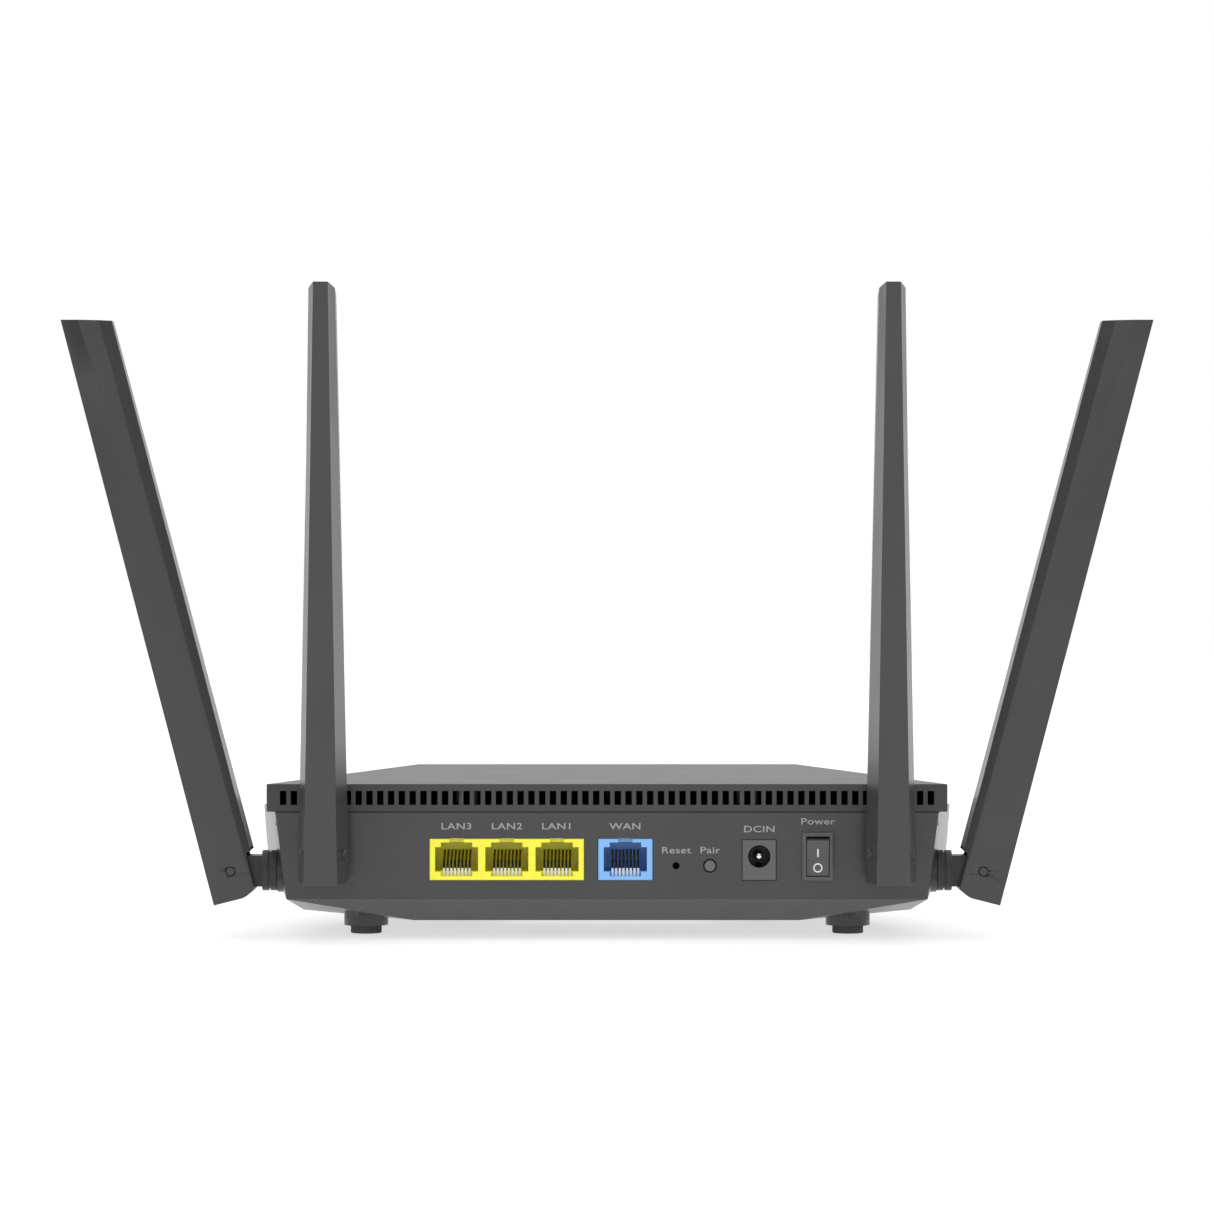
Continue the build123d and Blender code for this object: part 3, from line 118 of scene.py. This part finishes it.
class Finish:
    """One surface finish, built on a Principled shader with patterns in object coordinates."""

    def __init__(self, name):
        self.material = bpy.data.materials.new(name)
        self.material.use_nodes = True
        self.tree = self.material.node_tree
        self.shader = self.tree.nodes["Principled BSDF"]
        self.place = self.node("ShaderNodeTexCoord", {}, {}, "Object")

    def node(self, kind, settings, inputs, output):
        """Add a node, set it up, feed its sockets, and return its output as a Signal."""
        made = self.tree.nodes.new(kind)
        for setting, value in settings.items():
            setattr(made, setting, value)
        for socket, value in inputs.items():
            self.feed(made.inputs[socket], value)
        return Signal(self, made.outputs[output])

    def feed(self, socket, value):
        if isinstance(value, Signal):
            self.tree.links.new(value.socket, socket)
        else:
            socket.default_value = value

    def set(self, socket, value):
        self.feed(self.shader.inputs[socket], value)

    def axis(self, letter):
        """One object coordinate: X, Y or Z."""
        return self.node("ShaderNodeSeparateXYZ", {}, {"Vector": self.place}, letter)

    def stretched(self, x, y, z):
        """Object coordinates with a different scale along each axis."""
        inputs = {"Vector": self.place, "Scale": (x, y, z)}
        return self.node("ShaderNodeMapping", {"vector_type": "POINT"}, inputs, "Vector")

    def noise(self, size, detail=3.0, roughness=0.5, place=None):
        """Soft noise from 0 to 1 whose patches are about `size` metres across."""
        inputs = {
            "Vector": place or self.place, "Scale": 1 / size, "Detail": detail,
            "Roughness": roughness,
        }
        return self.node("ShaderNodeTexNoise", {}, inputs, "Fac")

    def cells(self, size):
        """Distance to the nearest of a scatter of points about `size` metres apart."""
        inputs = {"Vector": self.place, "Scale": 1 / size}
        return self.node("ShaderNodeTexVoronoi", {"feature": "F1"}, inputs, "Distance")

    def blend(self, factor, first, second):
        """Colour between `first` and `second`."""
        mixed = self.tree.nodes.new("ShaderNodeMix")
        mixed.data_type = "RGBA"
        self.feed(mixed.inputs["Factor"], factor)
        colour_inputs = [socket for socket in mixed.inputs if socket.type == "RGBA"]
        self.feed(colour_inputs[0], first)
        self.feed(colour_inputs[1], second)
        return Signal(self, next(out for out in mixed.outputs if out.type == "RGBA"))

    def bump(self, height, depth):
        """Raise the surface by `height` times `depth` metres."""
        inputs = {"Height": height, "Distance": depth, "Strength": 1.0}
        self.set("Normal", self.node("ShaderNodeBump", {}, inputs, "Normal"))


def tone(value, tint=(1.0, 1.0, 1.0)):
    """Opaque grey of this brightness, or a colour when the tint isn't neutral."""
    return (value * tint[0], value * tint[1], value * tint[2], 1.0)


def dimmed(colour, factor):
    """The same opaque colour, darker or lighter by `factor`, and no lighter than white."""
    return tuple(min(1.0, channel * factor) for channel in colour[:3]) + (1.0,)


# ---------------------------------------------------------------- finishes
def moulded_plastic(name, colour, roughness, grain, grain_depth, specular=0.5):
    """Injection-moulded plastic with a spark-eroded grain and faint flow variation."""
    finish = Finish(name)
    finish.set("Specular IOR Level", specular)
    coarse = finish.noise(grain * 60, detail=2.0)
    fine = finish.noise(grain, detail=2.0, roughness=0.6)
    pits = finish.cells(grain * 1.4)
    flow = (coarse * 0.6 + fine * 0.4).between(0.3, 0.7)
    finish.set("Base Color", finish.blend(flow, dimmed(colour, 0.9), dimmed(colour, 1.08)))
    finish.set("Roughness", (coarse * 0.5 + fine * 0.5) * 0.14 + (roughness - 0.07))
    finish.bump(fine * 0.6 + pits * 0.4, grain_depth)
    return finish.material


def glossy_plastic(name, colour, roughness):
    """Smooth moulded plastic with a slight unevenness under its gloss."""
    finish = Finish(name)
    ripple = finish.noise(2.5 * MM, detail=2.0)
    fine = finish.noise(0.15 * MM, detail=2.0)
    shade = finish.blend(ripple.between(0.35, 0.65), dimmed(colour, 0.96), colour)
    finish.set("Base Color", shade)
    finish.set("Roughness", fine * 0.12 + (roughness - 0.06))
    finish.bump(ripple * 0.7 + fine * 0.3, 0.02 * MM)
    return finish.material


def metal(name, colour, roughness, brush=(1.0, 1.0, 12.0)):
    """Plated or drawn metal with fine lines along one way."""
    finish = Finish(name)
    finish.set("Metallic", 1.0)
    lines = finish.noise(0.8 * MM, detail=3.0, place=finish.stretched(*brush))
    stain = finish.noise(4.0 * MM, detail=2.0)
    wear = (lines * 0.5 + stain * 0.5).between(0.3, 0.7)
    finish.set("Base Color", finish.blend(wear, dimmed(colour, 0.82), colour))
    finish.set("Roughness", lines * 0.18 + (roughness - 0.09))
    finish.bump(lines, 0.01 * MM)
    return finish.material


def sprung_contact(name):
    """Gold-flashed spring wire with light painted into its colour: a painted highlight on the tip,
    painted shade in the comb, and the gold above darkened with painted shade.
    """
    finish = Finish(name)
    height = finish.axis("Z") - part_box("lan_contacts")[0][2]
    above_tip = height.between(2.0 * MM, 2.2 * MM)
    above_comb = height.between(4.2 * MM, 4.5 * MM)
    wear = finish.noise(0.4 * MM, detail=2.0)
    # Painted light by height: a painted highlight on the tip, near-black painted shade in the comb,
    # and gold dimmed with painted shade above.
    tip_highlight = finish.blend(wear, tone(0.75), tone(0.95))
    comb_shade = finish.blend(wear, tone(0.002), tone(0.006))
    shaded_gold = finish.blend(wear, (0.10, 0.075, 0.012, 1.0), (0.16, 0.12, 0.02, 1.0))
    upper = finish.blend(above_comb, comb_shade, shaded_gold)
    finish.set("Base Color", finish.blend(above_tip, tip_highlight, upper))
    finish.set("Roughness", 0.3 + wear * 0.1 + above_tip * 0.25)
    finish.set("Metallic", above_comb * 0.6)
    finish.set("Specular IOR Level", 0.2)
    finish.bump(wear, 0.01 * MM)
    return finish.material


def inlet_pin(name):
    """Plated centre pin: bright metal at its tip, with painted shade that darkens its shank nearly to
    black.
    """
    finish = Finish(name)
    depth = finish.axis("Y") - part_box("power_jack_pin")[0][1]
    shaded_shank = depth.between(0.12 * MM, 0.32 * MM)
    lines = finish.noise(0.5 * MM, detail=2.0, place=finish.stretched(6.0, 1.0, 6.0))
    # Painted shade: past the tip the pin's colour drops nearly to black, standing for the dark inside
    # the bore.
    finish.set("Base Color", finish.blend(shaded_shank, tone(0.95), tone(0.03)))
    finish.set("Metallic", 1.0 - shaded_shank * 0.5)
    finish.set("Roughness", 0.18 + shaded_shank * 0.3 + lines * 0.05)
    finish.bump(lines, 0.01 * MM)
    return finish.material


def rubber(name, value):
    """Matt rubber with a fine pebble."""
    finish = Finish(name)
    pebble = finish.cells(0.35 * MM)
    dust = finish.noise(3.0 * MM, detail=4.0)
    finish.set("Base Color", finish.blend(dust.between(0.4, 0.8), tone(value), tone(value * 1.5)))
    finish.set("Roughness", pebble * 0.1 + 0.78)
    finish.bump(pebble, 0.05 * MM)
    return finish.material


def circuit_laminate(name):
    """Green solder mask over copper tracks and pads."""
    finish = Finish(name)
    across = finish.noise(6.0 * MM, detail=0.0, place=finish.stretched(1.0, 3.0, 1.0))
    along = finish.noise(6.0 * MM, detail=0.0, place=finish.stretched(3.0, 1.0, 1.0))
    tracks_per_wave = 26.0
    rows, columns = (
        (wave * tracks_per_wave).fraction().between(0.42, 0.5) for wave in (across, along)
    )
    tracks = rows * columns
    vias = finish.cells(2.6 * MM).between(0.16, 0.12)
    mask = finish.blend(tracks, tone(0.045, (0.25, 1.0, 0.5)), tone(0.075, (0.3, 1.0, 0.5)))
    finish.set("Base Color", finish.blend(vias, mask, (0.55, 0.5, 0.38, 1.0)))
    finish.set("Roughness", 0.42 - tracks * 0.1)
    finish.bump(tracks + vias, 0.035 * MM)
    return finish.material


def chip_package(name):
    """Black moulding compound with a faint sparkle."""
    finish = Finish(name)
    sparkle = finish.cells(0.22 * MM)
    haze = finish.noise(2.0 * MM, detail=3.0)
    finish.set("Base Color", finish.blend(haze.between(0.35, 0.65), tone(0.018), tone(0.035)))
    finish.set("Roughness", sparkle * 0.15 + 0.5)
    finish.bump(sparkle, 0.02 * MM)
    return finish.material


def printed_ink(name, value):
    """Pad-printed light ink, a little worn at its edges."""
    finish = Finish(name)
    wear = finish.noise(0.3 * MM, detail=4.0)
    finish.set("Base Color", finish.blend(wear.between(0.3, 0.6), tone(value * 0.8), tone(value)))
    finish.set("Roughness", wear * 0.2 + 0.45)
    finish.bump(wear, 0.01 * MM)
    return finish.material


def clear_acrylic(name):
    """Clear moulded acrylic with faint flow lines."""
    finish = Finish(name)
    finish.set("Roughness", 0.08)
    finish.set("IOR", 1.49)
    finish.set("Transmission Weight", 0.9)
    flow = finish.noise(3.0 * MM, detail=2.0, place=finish.stretched(1.0, 1.0, 4.0))
    finish.set("Base Color", finish.blend(flow, tone(0.86), tone(0.97)))
    finish.bump(flow, 0.02 * MM)
    return finish.material


def silver_film(name):
    """Blank silver label film with a faint weave."""
    finish = Finish(name)
    finish.set("Metallic", 0.6)
    weave = finish.noise(0.4 * MM, detail=2.0, place=finish.stretched(1.0, 6.0, 1.0))
    finish.set("Base Color", finish.blend(weave, tone(0.35), tone(0.45)))
    finish.set("Roughness", weave * 0.15 + 0.35)
    finish.bump(weave, 0.01 * MM)
    return finish.material


CASE_GRAIN = (0.32 * MM, 0.02 * MM)
ANTENNA_GRAIN = (0.3 * MM, 0.015 * MM)
FINE_GRAIN = (0.25 * MM, 0.02 * MM)

finishes = {
    "cover_plastic": moulded_plastic("cover_plastic", tone(0.05), 0.4, *CASE_GRAIN, 0.42),
    "case_plastic": moulded_plastic("case_plastic", tone(0.046), 0.28, *CASE_GRAIN),
    "antenna_plastic": moulded_plastic("antenna_plastic", tone(0.046), 0.3, *ANTENNA_GRAIN),
    "foot_rubber": rubber("foot_rubber", 0.05),
    "yellow_plastic": glossy_plastic("yellow_plastic", (0.97, 0.93, 0.06, 1.0), 0.38),
    "blue_plastic": glossy_plastic("blue_plastic", (0.23, 0.5, 0.92, 1.0), 0.38),
    "gold_contact": sprung_contact("gold_contact"),
    "jack_plastic": moulded_plastic("jack_plastic", tone(0.11), 0.5, 0.25 * MM, 0.03 * MM),
    "switch_plastic": moulded_plastic("switch_plastic", tone(0.085), 0.4, *FINE_GRAIN),
    "button_plastic": moulded_plastic("button_plastic", tone(0.13), 0.4, *FINE_GRAIN),
    "tact_plastic": chip_package("tact_plastic"),
    "nickel": metal("nickel", (0.8, 0.79, 0.76, 1.0), 0.2),
    "screw_steel": metal("screw_steel", (0.55, 0.55, 0.57, 1.0), 0.35),
    "board_laminate": circuit_laminate("board_laminate"),
    "aerial_laminate": circuit_laminate("aerial_laminate"),
    "chip_plastic": chip_package("chip_plastic"),
    "heatsink_aluminium": metal("heatsink_aluminium", (0.62, 0.63, 0.65, 1.0), 0.42),
    "thermal_silicone": rubber("thermal_silicone", 0.3),
    "shield_tin": metal("shield_tin", (0.66, 0.66, 0.65, 1.0), 0.32, (1.0, 12.0, 1.0)),
    "capacitor_can": metal("capacitor_can", (0.5, 0.5, 0.53, 1.0), 0.35),
    "led_lens": glossy_plastic("led_lens", (0.85, 0.84, 0.8, 1.0), 0.2),
    "guide_acrylic": clear_acrylic("guide_acrylic"),
    "lead_jacket": rubber("lead_jacket", 0.05),
    "label_film": silver_film("label_film"),
}
label_ink = printed_ink("label_ink", 0.37)
rocker_ink = printed_ink("rocker_ink", 0.85)
pin_metal = inlet_pin("pin_metal")
# Painted shade: the power jack's spring and the reset plunger, deep in their holes, are coloured
# near-black to stand for the shade in those holes.
painted_bore_shade = moulded_plastic("painted_bore_shade", tone(0.004), 0.6, 0.25 * MM, 0.01 * MM, 0.1)
knuckle_plastic = moulded_plastic("knuckle_plastic", tone(0.026), 0.34, *ANTENNA_GRAIN, 0.4)

own_finish = {
    "power_jack_pin": pin_metal,
    "power_jack_spring": painted_bore_shade,
    "reset_plunger": painted_bore_shade,
    **{f"swivel_{name}": knuckle_plastic for name in ANTENNAS},
}
for node, piece in frame["nodes"].items():
    for material_slot in piece.material_slots:
        material_slot.material = own_finish.get(node, finishes[node_slot[node]])


# ---------------------------------------------------------------- pieces
def add_piece(name, shape, material):
    """Turn a finished bmesh into an object in the scene."""
    mesh = bpy.data.meshes.new(name)
    shape.to_mesh(mesh)
    shape.free()
    mesh.materials.append(material)
    piece = bpy.data.objects.new(name, mesh)
    bpy.context.scene.collection.objects.link(piece)
    return piece


def outer_edges(shape, crease, shortest):
    """Edges that stick out, turn by more than `crease` degrees and are long enough to round."""
    limit = math.radians(crease)
    return [
        edge for edge in shape.edges
        if len(edge.link_faces) == 2 and edge.is_convex and edge.calc_length() > shortest
        and edge.calc_face_angle() > limit
    ]


def middle_of(node):
    """Middle of a node's box."""
    low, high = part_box(node)
    return (Vector(low) + Vector(high)) / 2


SAME_PLACE = 0.002 * MM
SHARP_ANGLE = math.radians(32)
FACET_WEIGHT = 90


def fence(shape, place, along, reach):
    """Score the shape across, `reach` to each side of a hole, so that its facets stay whole there."""
    for side in (-1, 1):
        scored = bmesh.ops.bisect_plane(
            shape, geom=[*shape.verts, *shape.edges, *shape.faces],
            plane_co=place + along * side * reach, plane_no=along,
        )
        for element in scored["geom_cut"]:
            if isinstance(element, bmesh.types.BMEdge):
                element.seam = True


def softened(node, radius, segments=2, crease=12.0, shortest=3.0 * MM, flatness=0.5, hole=None):
    """Copy of a moulded node with its long outer edges rounded. It stands for the node.

    `hole` is a place, a direction and a reach to fence a hole with.
    """
    source = frame["nodes"][node]
    shape = bmesh.new()
    shape.from_mesh(source.data)
    bmesh.ops.remove_doubles(shape, verts=shape.verts, dist=SAME_PLACE)
    if hole:
        fence(shape, *hole)
    bmesh.ops.dissolve_limit(
        shape, angle_limit=math.radians(flatness), verts=shape.verts, edges=shape.edges,
        use_dissolve_boundaries=False, delimit={"SEAM"},
    )
    bmesh.ops.bevel(
        shape, geom=outer_edges(shape, crease, shortest), affect="EDGES", offset=radius,
        offset_type="OFFSET", segments=segments, profile=0.5, material=-1, clamp_overlap=True,
    )
    for face in shape.faces:
        face.smooth = True
    bmesh.ops.triangulate(shape, faces=shape.faces)
    piece = add_piece(f"{node}_moulding", shape, finishes[node_slot[node]])
    piece.data.set_sharp_from_angle(angle=SHARP_ANGLE)
    weighted = piece.modifiers.new("flat_faces", "WEIGHTED_NORMAL")
    weighted.mode = "FACE_AREA"
    weighted.weight = FACET_WEIGHT
    weighted.keep_sharp = True
    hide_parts(node)
    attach(piece, node_body[node])


PIN_FENCE = 1.7 * MM
for name in ANTENNAS:
    pin_middle = middle_of(f"hinge_pin_{name}")
    up_blade = (middle_of(f"aerial_board_{name}") - pin_middle).normalized()
    softened(
        f"blade_{name}", 0.5 * MM, segments=3, crease=8.0, shortest=6.0 * MM, flatness=3.0,
        hole=(pin_middle, up_blade, PIN_FENCE),
    )
softened("top_cover", 0.5 * MM, segments=3, crease=4.0, shortest=5.0 * MM)
softened("bottom_case", 0.4 * MM, segments=2, crease=5.0, shortest=5.0 * MM)


# ---------------------------------------------------------------- printed marks
def surface_of(node):
    """Search tree over a node's surface, to lay marks on it."""
    data = frame["nodes"][node].data
    corners = [vertex.co for vertex in data.vertices]
    return BVHTree.FromPolygons(corners, [face.vertices for face in data.polygons])


def lay_on(shape, surface):
    """Move flat marks, drawn in X and Z, onto the surface that faces -Y."""
    start_y = cad_bounds[0].y - 10 * MM
    for vertex in shape.verts:
        start = Vector((vertex.co.x, start_y, vertex.co.z))
        hit = surface.ray_cast(start, Vector((0.0, 1.0, 0.0)))[0]
        if hit is not None:
            vertex.co.y += hit.y


INK_RISE = 0.03 * MM
LETTER = 1.8 * MM
LETTER_WIDENING = 1.38
FONT_SIZE_PER_LETTER = 1.4


def flat_words(name, words, height):
    """Plain words as a thin flat mesh in X and Z, facing -Y."""
    curve = bpy.data.curves.new(name, "FONT")
    curve.body = words
    curve.size = height * FONT_SIZE_PER_LETTER
    curve.align_x = "CENTER"
    curve.align_y = "CENTER"
    curve.space_character = 1.05
    curve.extrude = INK_RISE
    curve.offset = 0.01 * height
    curve.resolution_u = 4
    drawing = bpy.data.objects.new(name, curve)
    shape = bmesh.new()
    shape.from_mesh(bpy.data.meshes.new_from_object(drawing))
    bpy.data.objects.remove(drawing)
    bmesh.ops.scale(shape, vec=(LETTER_WIDENING, 1.0, 1.0), verts=shape.verts)
    bmesh.ops.rotate(
        shape, verts=shape.verts, cent=(0, 0, 0), matrix=Matrix.Rotation(math.pi / 2, 3, "X")
    )
    return shape


def printed(name, words, x, z):
    """Short plain word in ink, centred at (x, z) on the port panel."""
    shape = flat_words(name, words, LETTER)
    bmesh.ops.translate(shape, vec=(x, 0.0, z), verts=shape.verts)
    lay_on(shape, port_panel)
    piece = add_piece(name, shape, label_ink)
    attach(piece, "case")


def over(node, gap):
    """Middle of a node's width, and the height `gap` above its top."""
    low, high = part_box(node)
    return (low[0] + high[0]) / 2, high[2] + gap


JACK_MARK_GAP = 3.4 * MM
INLET_MARK_GAP = 2.9 * MM
SWITCH_MARK_GAP = 3.0 * MM
BUTTON_MARK_GAP = 1.65 * MM

port_panel = surface_of("bottom_case")
lan_mark_z = over("lan_jack_block", JACK_MARK_GAP)[1]
for index in (1, 2, 3):
    printed(f"mark_lan_{index}", f"LAN{index}", mounts[f"lan_{index}_socket"].x, lan_mark_z)
printed("mark_wan", "WAN", *over("wan_jack", JACK_MARK_GAP))
printed("mark_dc_in", "DCIN", *over("power_jack", INLET_MARK_GAP))
printed("mark_power", "Power", *over("switch_housing", SWITCH_MARK_GAP))
pairing_x, button_mark_z = over("pairing_button", BUTTON_MARK_GAP)
reset_x = over("reset_plunger", 0)[0]
printed("mark_pair", "Pair", pairing_x, button_mark_z)
printed("mark_reset", "Reset", reset_x, button_mark_z)


# ---------------------------------------------------------------- rocker marks
def rocker_mark(name, shape, z):
    """Lay a flat mark, drawn in X and Z about the origin, on the rocker's face at height z."""
    middle_x = middle_of("switch_rocker").x
    bmesh.ops.translate(shape, vec=(middle_x, 0.0, z), verts=shape.verts)
    lay_on(shape, surface_of("switch_rocker"))
    piece = add_piece(name, shape, rocker_ink)
    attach(piece, "rocker")


def ring(inner, outer, steps):
    """Flat ring in X and Z with a little thickness, facing -Y."""
    shape = bmesh.new()
    ends = [shape.verts.new((radius, 0.0, 0.0)) for radius in (inner, outer)]
    edge = shape.edges.new(ends)
    bmesh.ops.spin(
        shape, geom=[*ends, edge], cent=(0, 0, 0), axis=(0, 1, 0), angle=2 * math.pi,
        steps=steps, use_merge=True,
    )
    thicken(shape)
    return shape


def bar(width, height):
    """Flat upright bar in X and Z with a little thickness, facing -Y."""
    shape = bmesh.new()
    bmesh.ops.create_grid(shape, x_segments=1, y_segments=4, size=0.5)
    bmesh.ops.scale(shape, vec=(width, height, 1.0), verts=shape.verts)
    bmesh.ops.rotate(
        shape, verts=shape.verts, cent=(0, 0, 0), matrix=Matrix.Rotation(math.pi / 2, 3, "X")
    )
    thicken(shape)
    return shape


def thicken(shape):
    """Give a flat mark its ink's thickness, both ways from its middle."""
    bmesh.ops.recalc_face_normals(shape, faces=shape.faces)
    bmesh.ops.solidify(shape, geom=shape.faces[:], thickness=2 * INK_RISE)
    middle = sum((vertex.co.y for vertex in shape.verts), 0.0) / len(shape.verts)
    bmesh.ops.translate(shape, vec=(0.0, -middle, 0.0), verts=shape.verts)
    bmesh.ops.recalc_face_normals(shape, faces=shape.faces)


ON_BAR_WIDTH, ON_BAR_HEIGHT = 0.42 * MM, 2.3 * MM
ON_BAR_RISE = 1.1 * MM
OFF_RING_INNER, OFF_RING_OUTER = 0.93 * MM, 1.3 * MM
OFF_RING_DROP = 3.05 * MM
OFF_RING_STEPS = 40

rocker_middle_z = middle_of("switch_rocker").z
rocker_mark("mark_on", bar(ON_BAR_WIDTH, ON_BAR_HEIGHT), rocker_middle_z + ON_BAR_RISE)
off_ring = ring(OFF_RING_INNER, OFF_RING_OUTER, OFF_RING_STEPS)
rocker_mark("mark_off", off_ring, rocker_middle_z - OFF_RING_DROP)

# ---------------------------------------------------------------- floor, lights, camera
PANEL_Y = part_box("bottom_case")[0][1]
CAMERA_DISTANCE = 1.1
CAMERA_HEIGHT = 92.5 * MM
SENSOR_WIDTH_MM = 36.0
FOCAL_LENGTH_MM = 117.4
FLOOR_HALF_WIDTH = 6.0
FLOOR_PATCH = 0.4

floor_shape = bmesh.new()
bmesh.ops.create_grid(floor_shape, x_segments=1, y_segments=1, size=FLOOR_HALF_WIDTH)
floor_finish = Finish("studio_floor")
floor_finish.set("Roughness", 0.7)
floor_finish.set("Specular IOR Level", 0.1)
floor_finish.set("Emission Strength", 1.0)
floor_patches = floor_finish.noise(FLOOR_PATCH)
floor_finish.set("Emission Color", floor_finish.blend(floor_patches, tone(0.62), tone(0.64)))
floor_finish.set("Base Color", floor_finish.blend(floor_patches, tone(0.5), tone(0.52)))
floor = add_piece("studio_floor", floor_shape, floor_finish.material)

# White studio walls with a dark flag on each side of the -Y end, which only reflections show.
FLAG_TURN = math.radians(40)
FLAG_HALF_WIDTH = math.radians(20)
FLAG_SOFTNESS = math.radians(10)
FLAG_TOP = 0.45
FLAG_TOP_SOFTNESS = 0.15


class Studio(Finish):
    """White surroundings, built with the same shader maths as the finishes."""

    def __init__(self, name):
        self.world = bpy.data.worlds.new(name)
        self.world.use_nodes = True
        self.tree = self.world.node_tree
        self.shader = self.tree.nodes["Background"]
        self.place = self.node("ShaderNodeTexCoord", {}, {}, "Generated")


studio = Studio("studio_air")
turn = studio.axis("X").size().angle_over(studio.axis("Y") * -1.0)
off_flag = (turn - FLAG_TURN).size()
across = off_flag.between(FLAG_HALF_WIDTH + FLAG_SOFTNESS, FLAG_HALF_WIDTH)
flag = across * studio.axis("Z").size().between(FLAG_TOP + FLAG_TOP_SOFTNESS, FLAG_TOP)
glossy = studio.node("ShaderNodeLightPath", {}, {}, "Is Glossy Ray")
studio.set("Color", studio.blend(flag * glossy, tone(1.0), tone(0.02)))
studio.set("Strength", 1.0)
bpy.context.scene.world = studio.world


def softbox(name, place, target, width, height, power):
    """Rectangular soft light that faces its target."""
    light = bpy.data.lights.new(name, "AREA")
    light.shape = "RECTANGLE"
    light.size = width
    light.size_y = height
    light.energy = power
    lamp = bpy.data.objects.new(name, light)
    lamp.location = place
    lamp.rotation_euler = (Vector(target) - Vector(place)).to_track_quat("-Z", "Y").to_euler()
    bpy.context.scene.collection.objects.link(lamp)


softbox("top_light", (0.0, 0.1, 1.8), (0, 0, 0.05), 1.6, 1.6, 4.0)

camera_data = bpy.data.cameras.new("camera")
camera_data.sensor_width = SENSOR_WIDTH_MM
camera_data.lens = FOCAL_LENGTH_MM
camera_data.clip_start = 0.01
camera_data.clip_end = 50.0
camera = bpy.data.objects.new("camera", camera_data)
camera.location = (0.0, PANEL_Y - CAMERA_DISTANCE, CAMERA_HEIGHT)
camera.rotation_euler = (math.radians(90), 0.0, 0.0)
bpy.context.scene.collection.objects.link(camera)
bpy.context.scene.camera = camera
bpy.context.scene.view_settings.view_transform = "Standard"
